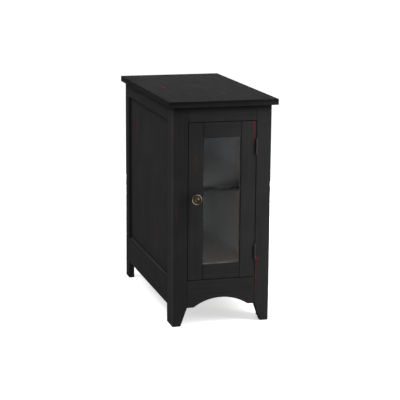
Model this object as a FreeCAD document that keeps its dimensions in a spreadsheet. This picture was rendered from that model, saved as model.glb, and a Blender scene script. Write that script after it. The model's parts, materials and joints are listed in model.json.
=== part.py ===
import FreeCAD, Part
import math
import os
import re

import Sketcher

# A narrow side table: a cabinet of framed sides under an overhanging top, with a glazed door in front.
# +Z is up, the front faces -Y, and the origin is on the floor under the middle of the whole table.

# Driving sizes in millimetres.
SIZES = {
    # case and top
    "total_height": 610,
    "case_width": 270,
    "case_depth": 546,
    "top_thickness": 16,
    "side_overhang": 14,
    "front_overhang": 16,
    "edge_ease": 0.6,
    # face frame and its feet
    "front_thickness": 18,
    "stile_width": 40.5,
    "top_rail_height": 41,
    "bottom_rail_height": 75,
    "foot_height": 50,
    "foot_width": 22.5,
    "arch_flat": 18.5,
    "arch_rise": 24,
    # joints in the wood
    "tenon_length": 20,
    "tenon_thickness": 6,
    "tenon_shoulder": 6,
    "joint_play": 0.1,
    "dowel_diameter": 8,
    "dowel_length": 30,
    "dowel_in_frame": 12,
    "dowel_end_play": 1,
    "dowel_play": 0.05,
    "dowel_inset": 70,
    # framed sides
    "side_thickness": 16,
    "side_stile_width": 40.5,
    "groove_depth": 10,
    "panel_thickness": 4,
    "panel_recess": 8,
    "panel_play": 1,
    # back
    "back_thickness": 5,
    "back_rabbet": 8,
    "back_play": 0.5,
    "back_rail_thickness": 16,
    "back_tenon_length": 7,
    "nail_length": 15,
    "nail_diameter": 1.6,
    "nail_head_diameter": 3.2,
    "nail_head_height": 0.8,
    "nail_rail_offset": 60,
    # cabinet floor, cleats and their screws
    "bottom_thickness": 12,
    "cleat_width": 18,
    "cleat_height": 18,
    "cleat_end_gap": 12,
    "cleat_screw_inset": 40,
    "screw_shank": 3.5,
    "screw_head": 7,
    "screw_head_height": 2.2,
    "screw_play": 0.05,
    "screw_end_play": 1,
    "top_screw_length": 28,
    "bottom_screw_length": 25,
    # shelf and its pins
    "shelf_thickness": 12,
    "shelf_setback": 6,
    "shelf_side_gap": 2,
    "shelf_back_gap": 3,
    "shelf_seat_gap": 0.2,
    "pin_height": 360,
    "pin_spacing": 32,
    "pin_diameter": 5,
    "pin_reach": 9,
    "pin_depth": 8,
    "pin_end_play": 1,
    "pin_play": 0.05,
    "pin_collar_diameter": 8,
    "pin_collar_thickness": 1.5,
    "pin_front_land": 6.5,
    "pin_back_land": 5.5,
    # door
    "door_gap": 1.5,
    "door_thickness": 18,
    "door_stile_width": 41,
    "door_rail_height": 41,
    "door_tenon_length": 22,
    "glass_setback": 10,
    "glass_thickness": 3,
    "glass_rabbet": 8,
    "glass_play": 1,
    "bead_thickness": 4.5,
    "bead_width": 7,
    # knob
    "knob_height": 350,
    "knob_from_edge": 19.5,
    "knob_projection": 18,
    "knob_diameter": 28,
    "knob_base_diameter": 14,
    "knob_base_thickness": 1.6,
    "knob_neck_diameter": 9,
    "knob_cup_depth": 9,
    "knob_rim_width": 2,
    "knob_dish_depth": 2.4,
    "knob_ring_diameter": 10,
    "knob_ring_width": 2,
    "knob_ring_height": 1.4,
    "knob_screw_shank": 4,
    "knob_screw_hole_play": 0.25,
    "knob_screw_head": 8,
    "knob_screw_head_height": 2.4,
    "knob_screw_grip": 9,
    # hinges
    "hinge_length": 41,
    "hinge_inset": 48.5,
    "leaf_thickness": 1.2,
    "leaf_depth": 14,
    "leaf_gap": 0.3,
    "barrel_diameter": 5,
    "barrel_clearance": 0.3,
    "knuckle_gap": 0.3,
    "hinge_pin_diameter": 2.4,
    "hinge_pin_head": 4,
    "hinge_pin_head_height": 0.8,
    "running_play": 0.05,
    "hinge_screw_shank": 2.6,
    "hinge_screw_head": 5,
    "hinge_screw_length": 12,
    # magnetic catch
    "catch_from_stile": 12,
    "catch_block_width": 26,
    "catch_block_depth": 14,
    "catch_block_height": 14,
    "catch_ear_width": 9,
    "catch_ear_thickness": 3,
    "magnet_width": 20,
    "magnet_depth": 10,
    "magnet_height": 8,
    "magnet_proud": 0.5,
    "catch_gap": 0.3,
    "catch_screw_length": 11,
    "strike_thickness": 1,
    "strike_screw_length": 10,
}

# Places and sizes that follow from the driving ones.
DERIVED = {
    "front_reach": "max(front_overhang; knob_projection)",
    "front_y": "(front_reach - case_depth) / 2",
    "back_y": "(front_reach + case_depth) / 2",
    "frame_back_y": "front_y + front_thickness",
    "case_height": "total_height - top_thickness",
    "floor_z": "foot_height + bottom_rail_height",
    "head_z": "case_height - top_rail_height",
    "inner_x": "case_width / 2 - side_thickness",
    "opening_width": "case_width - 2 * stile_width",
    "arch_width": "opening_width - 2 * arch_flat",
    "arch_radius": "(arch_width * arch_width / 4 + arch_rise * arch_rise) / (2 * arch_rise)",
    "side_span": "case_depth - front_thickness - 2 * side_stile_width",
    "tongue_length": "groove_depth - panel_play",
    "pin_hole_depth": "pin_depth + pin_end_play",
    "pin_front_inset": "side_stile_width - groove_depth - pin_front_land",
    "pin_back_inset": "side_stile_width - back_thickness - groove_depth - pin_back_land",
    "cleat_front_y": "frame_back_y + cleat_end_gap",
    "cleat_back_y": "back_y - back_thickness - back_rail_thickness - cleat_end_gap",
    "cleat_length": "cleat_back_y - cleat_front_y",
    "cleat_screw_step": "(cleat_length - 2 * cleat_screw_inset) / 2",
    "cleat_middle": "inner_x - cleat_width / 2",
    "dowel_step": "(case_height - 2 * dowel_inset) / 3",
    "dowel_hole": "dowel_diameter + 2 * dowel_play",
    "screw_hole": "screw_shank + 2 * screw_play",
    "hinge_screw_hole": "hinge_screw_shank + 2 * screw_play",
    "hinge_screw_sink": "hinge_screw_head + 2 * screw_play",
    "nail_hole": "nail_diameter + 2 * screw_play",
    "nail_hole_depth": "nail_length - back_thickness + screw_end_play",
    "front_tenon_y": "(front_thickness - tenon_thickness) / 2",
    "back_rail_height": "bottom_rail_height - bottom_thickness",
    "back_half_width": "inner_x + back_rabbet - back_play",
    "door_width": "opening_width - 2 * door_gap",
    "door_height": "head_z - floor_z - 2 * door_gap",
    "door_z": "floor_z + door_gap",
    "door_back_y": "front_y + door_thickness",
    "door_tenon_y": "(door_thickness - tenon_thickness) / 2",
    "door_tenon_height": "door_rail_height - glass_rabbet - tenon_shoulder",
    "pane_width": "door_width - 2 * door_stile_width",
    "pane_height": "door_height - 2 * door_rail_height",
    "rabbet_width": "pane_width + 2 * glass_rabbet",
    "rabbet_height": "pane_height + 2 * glass_rabbet",
    "barrel_standoff": "barrel_diameter / 2 + barrel_clearance",
    "hinge_x": "opening_width / 2 - door_gap / 2",
    "hinge_y": "front_y - barrel_standoff",
    "leaf_mortise": "leaf_gap / 2 + leaf_thickness - door_gap / 2",
    "knuckle_length": "hinge_length / 3",
    "upper_hinge_z": "door_z + door_height - hinge_inset - hinge_length",
    "lower_hinge_z": "door_z + hinge_inset",
    "knob_x": "knob_from_edge - door_width / 2",
    "magnet_y": "door_back_y + strike_thickness + catch_gap",
    "magnet_z": "floor_z + catch_ear_thickness",
    "catch_y": "magnet_y + magnet_proud",
    "catch_x": "catch_from_stile - pane_width / 2",
}

ORIGIN = ("0", "0", "0")
ADD = "Additive"
CUT = "Subtractive"

# How a shape that stands along +Z is turned to lie along another direction.
X_AXIS = FreeCAD.Vector(1, 0, 0)
Y_AXIS = FreeCAD.Vector(0, 1, 0)
TURN = {
    "+Z": FreeCAD.Rotation(),
    "+X": FreeCAD.Rotation(Y_AXIS, 90),
    "-X": FreeCAD.Rotation(Y_AXIS, -90),
    "+Y": FreeCAD.Rotation(X_AXIS, -90),
    "-Y": FreeCAD.Rotation(X_AXIS, 90),
}

doc = FreeCAD.newDocument("storage_side_table")
nodes = []


def formula(text, own=()):
    """Says which sheet each named size in a formula is kept in."""
    def with_sheet(match):
        word = match.group(0)
        if word in SIZES:
            return "Sizes." + word
        if word in DERIVED and word not in own:
            return "Derived." + word
        return word
    return re.sub("[a-z_]+", with_sheet, str(text))


def fill_sheet(name, cells):
    """Writes one row for each size: its name, its value and the name as the value's alias."""
    sheet = doc.addObject("Spreadsheet::Sheet", name)
    for row, (alias, text) in enumerate(cells.items(), start=1):
        sheet.set("A%d" % row, alias.replace("_", " "))
        sheet.set("B%d" % row, text)
        sheet.setAlias("B%d" % row, alias)
    doc.recompute()
    return sheet


sizes = fill_sheet("Sizes", {alias: str(value) for alias, value in SIZES.items()})
fill_sheet("Derived", {alias: "=" + formula(text, own=DERIVED) for alias, text in DERIVED.items()})


def bind(thing, prop, text):
    thing.setExpression(prop, formula(text))


def value_of(text):
    return sizes.evalExpression(formula(text))


def place(thing, at, along="+Z"):
    thing.Placement = FreeCAD.Placement(FreeCAD.Vector(), TURN[along])
    for axis, text in zip("xyz", at):
        bind(thing, "Placement.Base." + axis, text)


def keep(thing):
    """Counts an object as one of the table's pieces."""
    nodes.append(thing)
    return thing


def new_body(label, at, along="+Z"):
    body = doc.addObject("PartDesign::Body", label)
    body.Label = label
    place(body, at, along)
    return body


def new_piece(label, at, along="+Z"):
    return keep(new_body(label, at, along))


def mirrored(label, source):
    """The same piece on the other side of the table."""
    twin = doc.addObject("Part::Mirroring", label)
    twin.Label = label
    twin.Source = source
    twin.Normal = X_AXIS
    return twin


def group(label, members):
    """Like pieces that share one node."""
    compound = doc.addObject("Part::Compound", label)
    compound.Label = label
    compound.Links = members
    return keep(compound)


def box(body, kind, size, at):
    feature = body.newObject("PartDesign::" + kind + "Box", kind + "Box")
    for prop, text in zip(("Length", "Width", "Height"), size):
        bind(feature, prop, text)
    place(feature, at)


def cylinder(body, kind, diameter, length, at, along="+Z"):
    feature = body.newObject("PartDesign::" + kind + "Cylinder", kind + "Cylinder")
    bind(feature, "Radius", "(%s) / 2" % diameter)
    bind(feature, "Height", length)
    place(feature, at, along)


def cone(body, kind, start, end, length, at, along="+Z"):
    feature = body.newObject("PartDesign::" + kind + "Cone", kind + "Cone")
    bind(feature, "Radius1", "(%s) / 2" % start)
    bind(feature, "Radius2", "(%s) / 2" % end)
    bind(feature, "Height", length)
    place(feature, at, along)


def ease(body):
    """Takes the sharp arris off every edge that the board has so far."""
    doc.recompute()
    chamfer = body.newObject("PartDesign::Chamfer", "EasedEdges")
    chamfer.Base = (chamfer.BaseFeature, [""])
    chamfer.UseAllEdges = True
    bind(chamfer, "Size", "edge_ease")


def profile(body, points, arcs=()):
    """A closed outline on the body's XZ plane; arcs gives the radius of a side that is a round stretch."""
    sketch = body.newObject("Sketcher::SketchObject", "Outline")
    plane = [item for item in body.Origin.OriginFeatures if item.Role == "XZ_Plane"][0]
    sketch.AttachmentSupport = (plane, "")
    sketch.MapMode = "FlatFace"
    radii = dict(arcs)
    corners = [FreeCAD.Vector(value_of(across), value_of(up), 0) for across, up in points]
    ends = []
    for side, corner in enumerate(corners):
        following = corners[(side + 1) % len(corners)]
        if side in radii:
            radius = value_of(radii[side])
            half = (following - corner).Length / 2
            sag = math.sqrt(radius * radius - half * half)
            centre = (corner + following) / 2 - FreeCAD.Vector(0, sag, 0)
            circle = Part.Circle(centre, FreeCAD.Vector(0, 0, 1), radius)
            spread = math.asin(half / radius)
            arc = Part.ArcOfCircle(circle, math.pi / 2 - spread, math.pi / 2 + spread)
            line = sketch.addGeometry(arc, False)
            rule = sketch.addConstraint(Sketcher.Constraint("Radius", line, radius))
            bind(sketch, "Constraints[%d]" % rule, radii[side])
            ends.append((line, 2, 1))
        else:
            line = sketch.addGeometry(Part.LineSegment(corner, following), False)
            ends.append((line, 1, 2))
    for side, (line, start, end) in enumerate(ends):
        next_line, next_start, next_end = ends[(side + 1) % len(ends)]
        sketch.addConstraint(Sketcher.Constraint("Coincident", line, end, next_line, next_start))
    for (line, start, end), point, corner in zip(ends, points, corners):
        for kind, text, value in zip(("DistanceX", "DistanceY"), point, corner):
            rule = sketch.addConstraint(Sketcher.Constraint(kind, -1, 1, line, start, value))
            bind(sketch, "Constraints[%d]" % rule, text)
    return sketch


def slab(body, points, thickness, arcs=()):
    """A board cut to an outline, its front on the body's XZ plane and its thickness towards +Y."""
    pad = body.newObject("PartDesign::Pad", "Board")
    pad.Profile = profile(body, points, arcs)
    pad.Reversed = True
    bind(pad, "Length", thickness)


def steps(start, step, count):
    """Formulas for evenly spaced places."""
    return ["%s + %d * (%s)" % (start, index, step) for index in range(count)]


DOWEL_HEIGHTS = steps("dowel_inset", "dowel_step", 4)
PIN_HOLE_HEIGHTS = steps("pin_height - pin_spacing", "pin_spacing", 3)
NAIL_HEIGHTS = steps("floor_z + (head_z - floor_z) / 6", "(head_z - floor_z) / 3", 3)
CLEAT_SCREW_PLACES = steps("cleat_screw_inset", "cleat_screw_step", 3)
HINGE_SCREW_HEIGHTS = steps("hinge_length / 4", "hinge_length / 2", 2)
HINGES = {"upper": "upper_hinge_z", "lower": "lower_hinge_z"}


def screw(label, at, along, head, head_height, shank, length, sunk=False):
    """A screw driven along the given direction; at is where its head's face or seat meets the work."""
    body = new_body(label, at, along)
    if sunk:
        cone(body, ADD, head, shank, head_height, ORIGIN)
        cylinder(body, ADD, shank, "%s - %s" % (length, head_height), ("0", "0", head_height))
    else:
        cylinder(body, ADD, head, head_height, ("0", "0", "-" + head_height))
        cylinder(body, ADD, shank, length, ORIGIN)
    return body


def top_panel():
    board = new_piece("top_panel",
                      ("-case_width / 2 - side_overhang", "front_y - front_overhang", "case_height"))
    box(board, ADD, ("case_width + 2 * side_overhang", "case_depth + front_overhang", "top_thickness"),
        ORIGIN)
    ease(board)
    for middle in ("-cleat_middle", "cleat_middle"):
        for along in CLEAT_SCREW_PLACES:
            cylinder(board, CUT, "screw_hole",
                     "top_screw_length - cleat_height + screw_end_play",
                     ("case_width / 2 + side_overhang + " + middle,
                      "front_overhang + front_thickness + cleat_end_gap + " + along, "0"))


def face_frame_left_stile():
    stile = new_piece("face_frame_left_stile", ("-case_width / 2", "front_y", "0"))
    slab(stile, [("0", "0"), ("foot_width", "0"), ("stile_width", "foot_height"),
                 ("stile_width", "case_height"), ("0", "case_height")], "front_thickness")
    ease(stile)
    for low, height in (("foot_height", "bottom_rail_height"), ("head_z", "top_rail_height")):
        box(stile, CUT, ("tenon_length + joint_play", "tenon_thickness + 2 * joint_play",
                         height + " - 2 * tenon_shoulder + 2 * joint_play"),
            ("stile_width - tenon_length - joint_play", "front_tenon_y - joint_play",
             low + " + tenon_shoulder - joint_play"))
    for height in DOWEL_HEIGHTS:
        cylinder(stile, CUT, "dowel_hole", "dowel_in_frame + dowel_end_play",
                 ("side_thickness / 2", "front_thickness - dowel_in_frame - dowel_end_play", height), "+Y")
    return stile


def face_frame_right_stile(left_stile):
    """The left stile's twin, let in and drilled for the hinges."""
    cuts = new_body("hinge_cuts", ORIGIN)
    for low in HINGES.values():
        box(cuts, ADD, ("leaf_mortise", "leaf_depth", "hinge_length + 2 * joint_play"),
            ("opening_width / 2", "front_y", low + " - joint_play"))
        for height in HINGE_SCREW_HEIGHTS:
            cylinder(cuts, ADD, "hinge_screw_hole", "hinge_screw_length + screw_end_play",
                     ("opening_width / 2", "front_y + leaf_depth / 2", low + " + " + height), "+X")
    stile = doc.addObject("Part::Cut", "face_frame_right_stile")
    stile.Label = "face_frame_right_stile"
    stile.Base = mirrored("plain_right_stile", left_stile)
    stile.Tool = cuts
    keep(stile)


def front_tenons(rail, height):
    """The tenons at both ends of a face frame rail."""
    for start in ("-tenon_length", "opening_width"):
        box(rail, ADD, ("tenon_length", "tenon_thickness", height + " - 2 * tenon_shoulder"),
            (start, "front_tenon_y", "tenon_shoulder"))


def face_frame_top_rail():
    rail = new_piece("face_frame_top_rail", ("-opening_width / 2", "front_y", "head_z"))
    box(rail, ADD, ("opening_width", "front_thickness", "top_rail_height"), ORIGIN)
    ease(rail)
    front_tenons(rail, "top_rail_height")


def front_apron():
    apron = new_piece("front_apron", ("-opening_width / 2", "front_y", "foot_height"))
    slab(apron, [("0", "0"), ("arch_flat", "0"), ("opening_width - arch_flat", "0"), ("opening_width", "0"),
                 ("opening_width", "bottom_rail_height"), ("0", "bottom_rail_height")],
         "front_thickness", arcs={1: "arch_radius"})
    ease(apron)
    front_tenons(apron, "bottom_rail_height")


def face_frame_dowels():
    dowels = []
    for side in ("-1", "1"):
        for height in DOWEL_HEIGHTS:
            dowel = new_body("dowel", (side + " * (case_width - side_thickness) / 2",
                                       "frame_back_y - dowel_in_frame", height), "+Y")
            cylinder(dowel, ADD, "dowel_diameter", "dowel_length", ORIGIN)
            ease(dowel)
            dowels.append(dowel)
    group("face_frame_dowels", dowels)


def pin_holes(stile, across):
    """Blind holes for the shelf pins in a side stile's inner face."""
    for height in PIN_HOLE_HEIGHTS:
        cylinder(stile, CUT, "pin_diameter + 2 * pin_play", "pin_hole_depth",
                 ("side_thickness - pin_hole_depth", across, height), "+X")


def panel_groove(stile, across):
    """The groove that takes the side panel and the rails' tongues."""
    box(stile, CUT, ("panel_thickness + joint_play", "groove_depth",
                     "case_height - foot_height - tenon_shoulder"),
        ("panel_recess", across, "foot_height + tenon_shoulder"))


def side_front_stile():
    stile = new_piece("left_side_front_stile", ("-case_width / 2", "frame_back_y", "0"))
    box(stile, ADD, ("side_thickness", "side_stile_width", "case_height"), ORIGIN)
    ease(stile)
    panel_groove(stile, "side_stile_width - groove_depth")
    pin_holes(stile, "pin_front_inset")
    for height in DOWEL_HEIGHTS:
        cylinder(stile, CUT, "dowel_hole",
                 "dowel_length - dowel_in_frame + dowel_end_play", ("side_thickness / 2", "0", height), "+Y")
    return stile


def side_rear_stile():
    stile = new_piece("left_side_rear_stile", ("-case_width / 2", "back_y - side_stile_width", "0"))
    box(stile, ADD, ("side_thickness", "side_stile_width", "case_height"), ORIGIN)
    ease(stile)
    panel_groove(stile, "0")
    pin_holes(stile, "side_stile_width - back_thickness - pin_back_inset")
    box(stile, CUT, ("back_rabbet", "back_thickness", "case_height - foot_height"),
        ("side_thickness - back_rabbet", "side_stile_width - back_thickness", "foot_height"))
    for low, height in (("foot_height", "back_rail_height"),
                        ("head_z", "top_rail_height")):
        box(stile, CUT, ("back_tenon_length + joint_play", "tenon_thickness + 2 * joint_play",
                         height + " - 2 * tenon_shoulder + 2 * joint_play"),
            ("side_thickness - back_tenon_length - joint_play",
             "side_stile_width - back_thickness - (back_rail_thickness + tenon_thickness) / 2 - joint_play",
             low + " + tenon_shoulder - joint_play"))
    for height in NAIL_HEIGHTS:
        cylinder(stile, CUT, "nail_hole", "nail_hole_depth",
                 ("side_thickness - back_rabbet / 2", "side_stile_width - back_thickness", height), "-Y")
    return stile


def side_rail(label, low, height, groove_z, tongue_z):
    """A rail between the side stiles, grooved for the panel, with a tongue at each end."""
    rail = new_piece(label, ("-case_width / 2", "frame_back_y + side_stile_width", low))
    box(rail, ADD, ("side_thickness", "side_span", height), ORIGIN)
    ease(rail)
    box(rail, CUT, ("panel_thickness + joint_play", "side_span", "groove_depth"),
        ("panel_recess", "0", groove_z))
    tongue_height = height + " - groove_depth - tenon_shoulder - joint_play"
    for start in ("-tongue_length", "side_span"):
        box(rail, ADD, ("panel_thickness", "tongue_length", tongue_height), ("panel_recess", start, tongue_z))
    return rail


def side_panel():
    panel = new_piece("left_side_panel", ("panel_recess - case_width / 2",
                                          "frame_back_y + side_stile_width - tongue_length",
                                          "floor_z - tongue_length"))
    box(panel, ADD, ("panel_thickness", "side_span + 2 * tongue_length",
                     "head_z - floor_z + 2 * tongue_length"), ORIGIN)
    return panel


def sides():
    """Both framed sides: the left one, and its twin on the right."""
    left = [
        side_front_stile(),
        side_rear_stile(),
        side_rail("left_side_top_rail", "head_z", "top_rail_height", "0", "groove_depth"),
        side_rail("left_side_bottom_rail", "foot_height", "bottom_rail_height",
                  "bottom_rail_height - groove_depth", "tenon_shoulder + joint_play"),
        side_panel(),
    ]
    for piece in left:
        keep(mirrored(piece.Label.replace("left", "right"), piece))


def back():
    panel = new_piece("back_panel", ("-back_half_width", "back_y - back_thickness", "foot_height"))
    box(panel, ADD, ("2 * back_half_width", "back_thickness", "case_height - foot_height"), ORIGIN)
    nails = []
    for x, z in nail_places():
        hole = (x + " + back_half_width", "back_thickness", z + " - foot_height")
        cylinder(panel, CUT, "nail_head_diameter + 2 * screw_play", "nail_head_height", hole, "-Y")
        cylinder(panel, CUT, "nail_hole", "back_thickness", hole, "-Y")
        nail = new_body("nail", (x, "back_y", z), "-Y")
        cylinder(nail, ADD, "nail_head_diameter", "nail_head_height", ORIGIN)
        cylinder(nail, ADD, "nail_diameter", "nail_length", ORIGIN)
        nails.append(nail)
    group("back_nails", nails)
    back_rail("back_top_rail", "head_z", "top_rail_height")
    back_rail("back_bottom_rail", "foot_height", "back_rail_height")


def nail_places():
    """Where the back is nailed: up both rear stiles and along both back rails."""
    places = []
    for side in ("-1", "1"):
        for height in NAIL_HEIGHTS:
            places.append((side + " * (inner_x + back_rabbet / 2)", height))
        places.append((side + " * nail_rail_offset", "head_z + top_rail_height / 2"))
        places.append((side + " * nail_rail_offset", "foot_height + back_rail_height / 2"))
    return places


def back_rail(label, low, height):
    rail = new_piece(label, ("-inner_x", "back_y - back_thickness - back_rail_thickness", low))
    box(rail, ADD, ("2 * inner_x", "back_rail_thickness", height), ORIGIN)
    ease(rail)
    for start in ("-back_tenon_length", "2 * inner_x"):
        box(rail, ADD, ("back_tenon_length", "tenon_thickness", height + " - 2 * tenon_shoulder"),
            (start, "(back_rail_thickness - tenon_thickness) / 2", "tenon_shoulder"))
    for side in ("-1", "1"):
        cylinder(rail, CUT, "nail_hole", "nail_hole_depth",
                 ("inner_x + %s * nail_rail_offset" % side, "back_rail_thickness", height + " / 2"), "-Y")


def cleat(label, low):
    """A batten along the inside of a side rail, drilled for the screws that go up through it."""
    batten = new_piece(label, ("-inner_x", "cleat_front_y", low))
    box(batten, ADD, ("cleat_width", "cleat_length", "cleat_height"), ORIGIN)
    ease(batten)
    for along in CLEAT_SCREW_PLACES:
        cylinder(batten, CUT, "screw_hole", "cleat_height", ("cleat_width / 2", along, "0"))
    return batten


def cleats_and_screws():
    for name, low, length in (("top", "case_height - cleat_height", "top_screw_length"),
                              ("bottom", "floor_z - bottom_thickness - cleat_height", "bottom_screw_length")):
        left = cleat(name + "_cleat_left", low)
        keep(mirrored(name + "_cleat_right", left))
        screws = []
        for middle in ("-cleat_middle", "cleat_middle"):
            for along in CLEAT_SCREW_PLACES:
                screws.append(screw(name + "_screw", (middle, "cleat_front_y + " + along, low), "+Z",
                                    "screw_head", "screw_head_height", "screw_shank", length))
        group(name + "_screws", screws)


def bottom_panel():
    board = new_piece("bottom_panel", ("-inner_x", "frame_back_y", "floor_z - bottom_thickness"))
    box(board, ADD, ("2 * inner_x", "case_depth - front_thickness - back_thickness", "bottom_thickness"),
        ORIGIN)
    for middle in ("-cleat_middle", "cleat_middle"):
        for along in CLEAT_SCREW_PLACES:
            cylinder(board, CUT, "screw_hole",
                     "bottom_screw_length - cleat_height + screw_end_play",
                     ("inner_x + " + middle, "cleat_end_gap + " + along, "0"))
    for place_x in catch_screw_places():
        cylinder(board, CUT, "screw_hole",
                 "catch_screw_length - catch_ear_thickness + screw_end_play",
                 ("inner_x + " + place_x, "catch_y + catch_block_depth / 2 - frame_back_y",
                  "bottom_thickness - (catch_screw_length - catch_ear_thickness + screw_end_play)"))


def shelf():
    board = new_piece("shelf", ("shelf_side_gap - inner_x", "frame_back_y + shelf_setback",
                                "pin_height + pin_diameter / 2 + shelf_seat_gap"))
    box(board, ADD, ("2 * (inner_x - shelf_side_gap)",
                     "case_depth - front_thickness - shelf_setback - back_thickness - shelf_back_gap",
                     "shelf_thickness"), ORIGIN)
    ease(board)


def shelf_pins():
    pins = []
    for side, along in (("-1", "+X"), ("1", "-X")):
        for y in ("frame_back_y + pin_front_inset", "back_y - back_thickness - pin_back_inset"):
            pin = new_body("shelf_pin", (side + " * inner_x", y, "pin_height"), along)
            cylinder(pin, ADD, "pin_diameter", "pin_depth + pin_reach", ("0", "0", "-pin_depth"))
            cylinder(pin, ADD, "pin_collar_diameter", "pin_collar_thickness", ORIGIN)
            pins.append(pin)
    group("shelf_pins", pins)


def door_stile(label, start_x, rabbet_x, mortise_x):
    """A door stile, rabbeted on its inner edge for the glass and mortised for both rails."""
    stile = new_piece(label, (start_x, "front_y", "door_z"))
    box(stile, ADD, ("door_stile_width", "door_thickness", "door_height"), ORIGIN)
    ease(stile)
    box(stile, CUT, ("glass_rabbet", "door_thickness - glass_setback", "rabbet_height"),
        (rabbet_x, "glass_setback", "door_rail_height - glass_rabbet"))
    for low in ("tenon_shoulder", "door_height - door_rail_height + glass_rabbet"):
        box(stile, CUT, ("door_tenon_length + joint_play", "tenon_thickness + 2 * joint_play",
                         "door_tenon_height + 2 * joint_play"),
            (mortise_x, "door_tenon_y - joint_play", low + " - joint_play"))
    return stile


def door_left_stile():
    stile = door_stile("door_left_stile", "-door_width / 2", "door_stile_width - glass_rabbet",
                       "door_stile_width - door_tenon_length - joint_play")
    cylinder(stile, CUT, "knob_screw_shank + 2 * knob_screw_hole_play", "door_thickness",
             ("knob_from_edge", "0", "knob_height - door_z"), "+Y")


def door_right_stile():
    stile = door_stile("door_right_stile", "door_width / 2 - door_stile_width", "0", "0")
    for low in HINGES.values():
        box(stile, CUT, ("leaf_mortise", "leaf_depth", "hinge_length + 2 * joint_play"),
            ("door_stile_width - leaf_mortise", "0", low + " - door_z - joint_play"))
        for height in HINGE_SCREW_HEIGHTS:
            cylinder(stile, CUT, "hinge_screw_hole", "hinge_screw_length + screw_end_play",
                     ("door_stile_width", "leaf_depth / 2", low + " - door_z + " + height), "-X")


def door_rail(label, low, rabbet_z, tenon_z):
    rail = new_piece(label, ("-pane_width / 2", "front_y", low))
    box(rail, ADD, ("pane_width", "door_thickness", "door_rail_height"), ORIGIN)
    ease(rail)
    box(rail, CUT, ("pane_width", "door_thickness - glass_setback", "glass_rabbet"),
        ("0", "glass_setback", rabbet_z))
    for start in ("-door_tenon_length", "pane_width"):
        box(rail, ADD, ("door_tenon_length", "tenon_thickness", "door_tenon_height"),
            (start, "door_tenon_y", tenon_z))
    return rail


def door_frame():
    door_left_stile()
    door_right_stile()
    door_rail("door_top_rail", "door_z + door_height - door_rail_height", "0", "glass_rabbet")
    rail = door_rail("door_bottom_rail", "door_z", "door_rail_height - glass_rabbet", "tenon_shoulder")
    cylinder(rail, CUT, "hinge_screw_hole",
             "strike_screw_length - strike_thickness + screw_end_play",
             ("catch_x + catch_block_width / 2 + pane_width / 2", "door_thickness",
              "magnet_z + magnet_height / 2 - door_z"), "-Y")


def door_glass():
    glass = new_piece("door_glass", ("glass_play - rabbet_width / 2", "front_y + glass_setback",
                                     "door_z + door_rail_height - glass_rabbet + glass_play"))
    box(glass, ADD, ("rabbet_width - 2 * glass_play", "glass_thickness", "rabbet_height - 2 * glass_play"),
        ORIGIN)


def glass_beads():
    """Four mitred strips that hold the glass in its rabbet from behind."""
    width, height = "rabbet_width", "rabbet_height"
    low_x, high_x = "bead_width", "rabbet_width - bead_width"
    low_z, high_z = "bead_width", "rabbet_height - bead_width"
    outlines = {
        "left": [("0", "0"), (low_x, low_z), (low_x, high_z), ("0", height)],
        "right": [(width, "0"), (width, height), (high_x, high_z), (high_x, low_z)],
        "top": [("0", height), (low_x, high_z), (high_x, high_z), (width, height)],
        "bottom": [("0", "0"), (width, "0"), (high_x, low_z), (low_x, low_z)],
    }
    for side, points in outlines.items():
        bead = new_piece("glass_bead_" + side,
                         ("-rabbet_width / 2", "front_y + glass_setback + glass_thickness",
                          "door_z + door_rail_height - glass_rabbet"))
        slab(bead, points, "bead_thickness")


def door_knob():
    """A turned knob: a foot, a waisted neck and a cup whose dished face holds a raised ring."""
    knob = new_piece("door_knob", ("knob_x", "front_y", "knob_height"), "-Y")
    rim = "knob_diameter / 2"
    ring = "knob_ring_diameter / 2"
    dish_floor = "knob_projection - knob_dish_depth"
    points = [
        ("0", "0"),
        ("knob_base_diameter / 2", "0"),
        ("knob_base_diameter / 2", "knob_base_thickness"),
        ("knob_neck_diameter / 2", "2 * knob_base_thickness"),
        ("knob_neck_diameter / 2", "knob_projection - knob_cup_depth"),
        (rim + " - knob_rim_width", "knob_projection - knob_cup_depth / 2"),
        (rim, "knob_projection - knob_dish_depth"),
        (rim, "knob_projection - knob_rim_width / 4"),
        (rim + " - knob_rim_width / 4", "knob_projection"),
        (rim + " - knob_rim_width", "knob_projection"),
        (rim + " - 2 * knob_rim_width", dish_floor),
        (ring + " + knob_ring_width", dish_floor),
        (ring + " + knob_ring_width / 2", dish_floor + " + knob_ring_height"),
        (ring + " - knob_ring_width / 2", dish_floor + " + knob_ring_height"),
        (ring + " - knob_ring_width", dish_floor + " + knob_ring_height / 4"),
        ("0", dish_floor),
    ]
    turned = knob.newObject("PartDesign::Revolution", "Turned")
    sketch = profile(knob, points)
    turned.Profile = sketch
    turned.ReferenceAxis = (sketch, ["V_Axis"])
    turned.Angle = 360
    cylinder(knob, CUT, "knob_screw_shank + 2 * screw_play", "knob_screw_grip + screw_end_play", ORIGIN)
    keep(screw("knob_screw", ("knob_x", "door_back_y", "knob_height"), "-Y", "knob_screw_head",
               "knob_screw_head_height", "knob_screw_shank", "(door_thickness + knob_screw_grip)"))


def hinge_leaf(label, low, plate_x, knuckles, screw_x, into):
    """One leaf of a butt hinge: a plate with its knuckles, bored for the pin and sunk for its screws."""
    leaf = new_piece(label, ("hinge_x", "hinge_y", low))
    box(leaf, ADD, ("leaf_thickness", "leaf_depth", "hinge_length"), (plate_x, "barrel_standoff", "0"))
    for start, length in knuckles:
        box(leaf, ADD, ("leaf_thickness", "barrel_standoff", length), (plate_x, "0", start))
        cylinder(leaf, ADD, "barrel_diameter", length, ("0", "0", start))
    cylinder(leaf, CUT, "hinge_pin_diameter + 2 * running_play", "hinge_length", ORIGIN)
    for height in HINGE_SCREW_HEIGHTS:
        cone(leaf, CUT, "hinge_screw_sink", "hinge_screw_hole",
             "leaf_thickness", (screw_x, "barrel_standoff + leaf_depth / 2", height), into)


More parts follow.
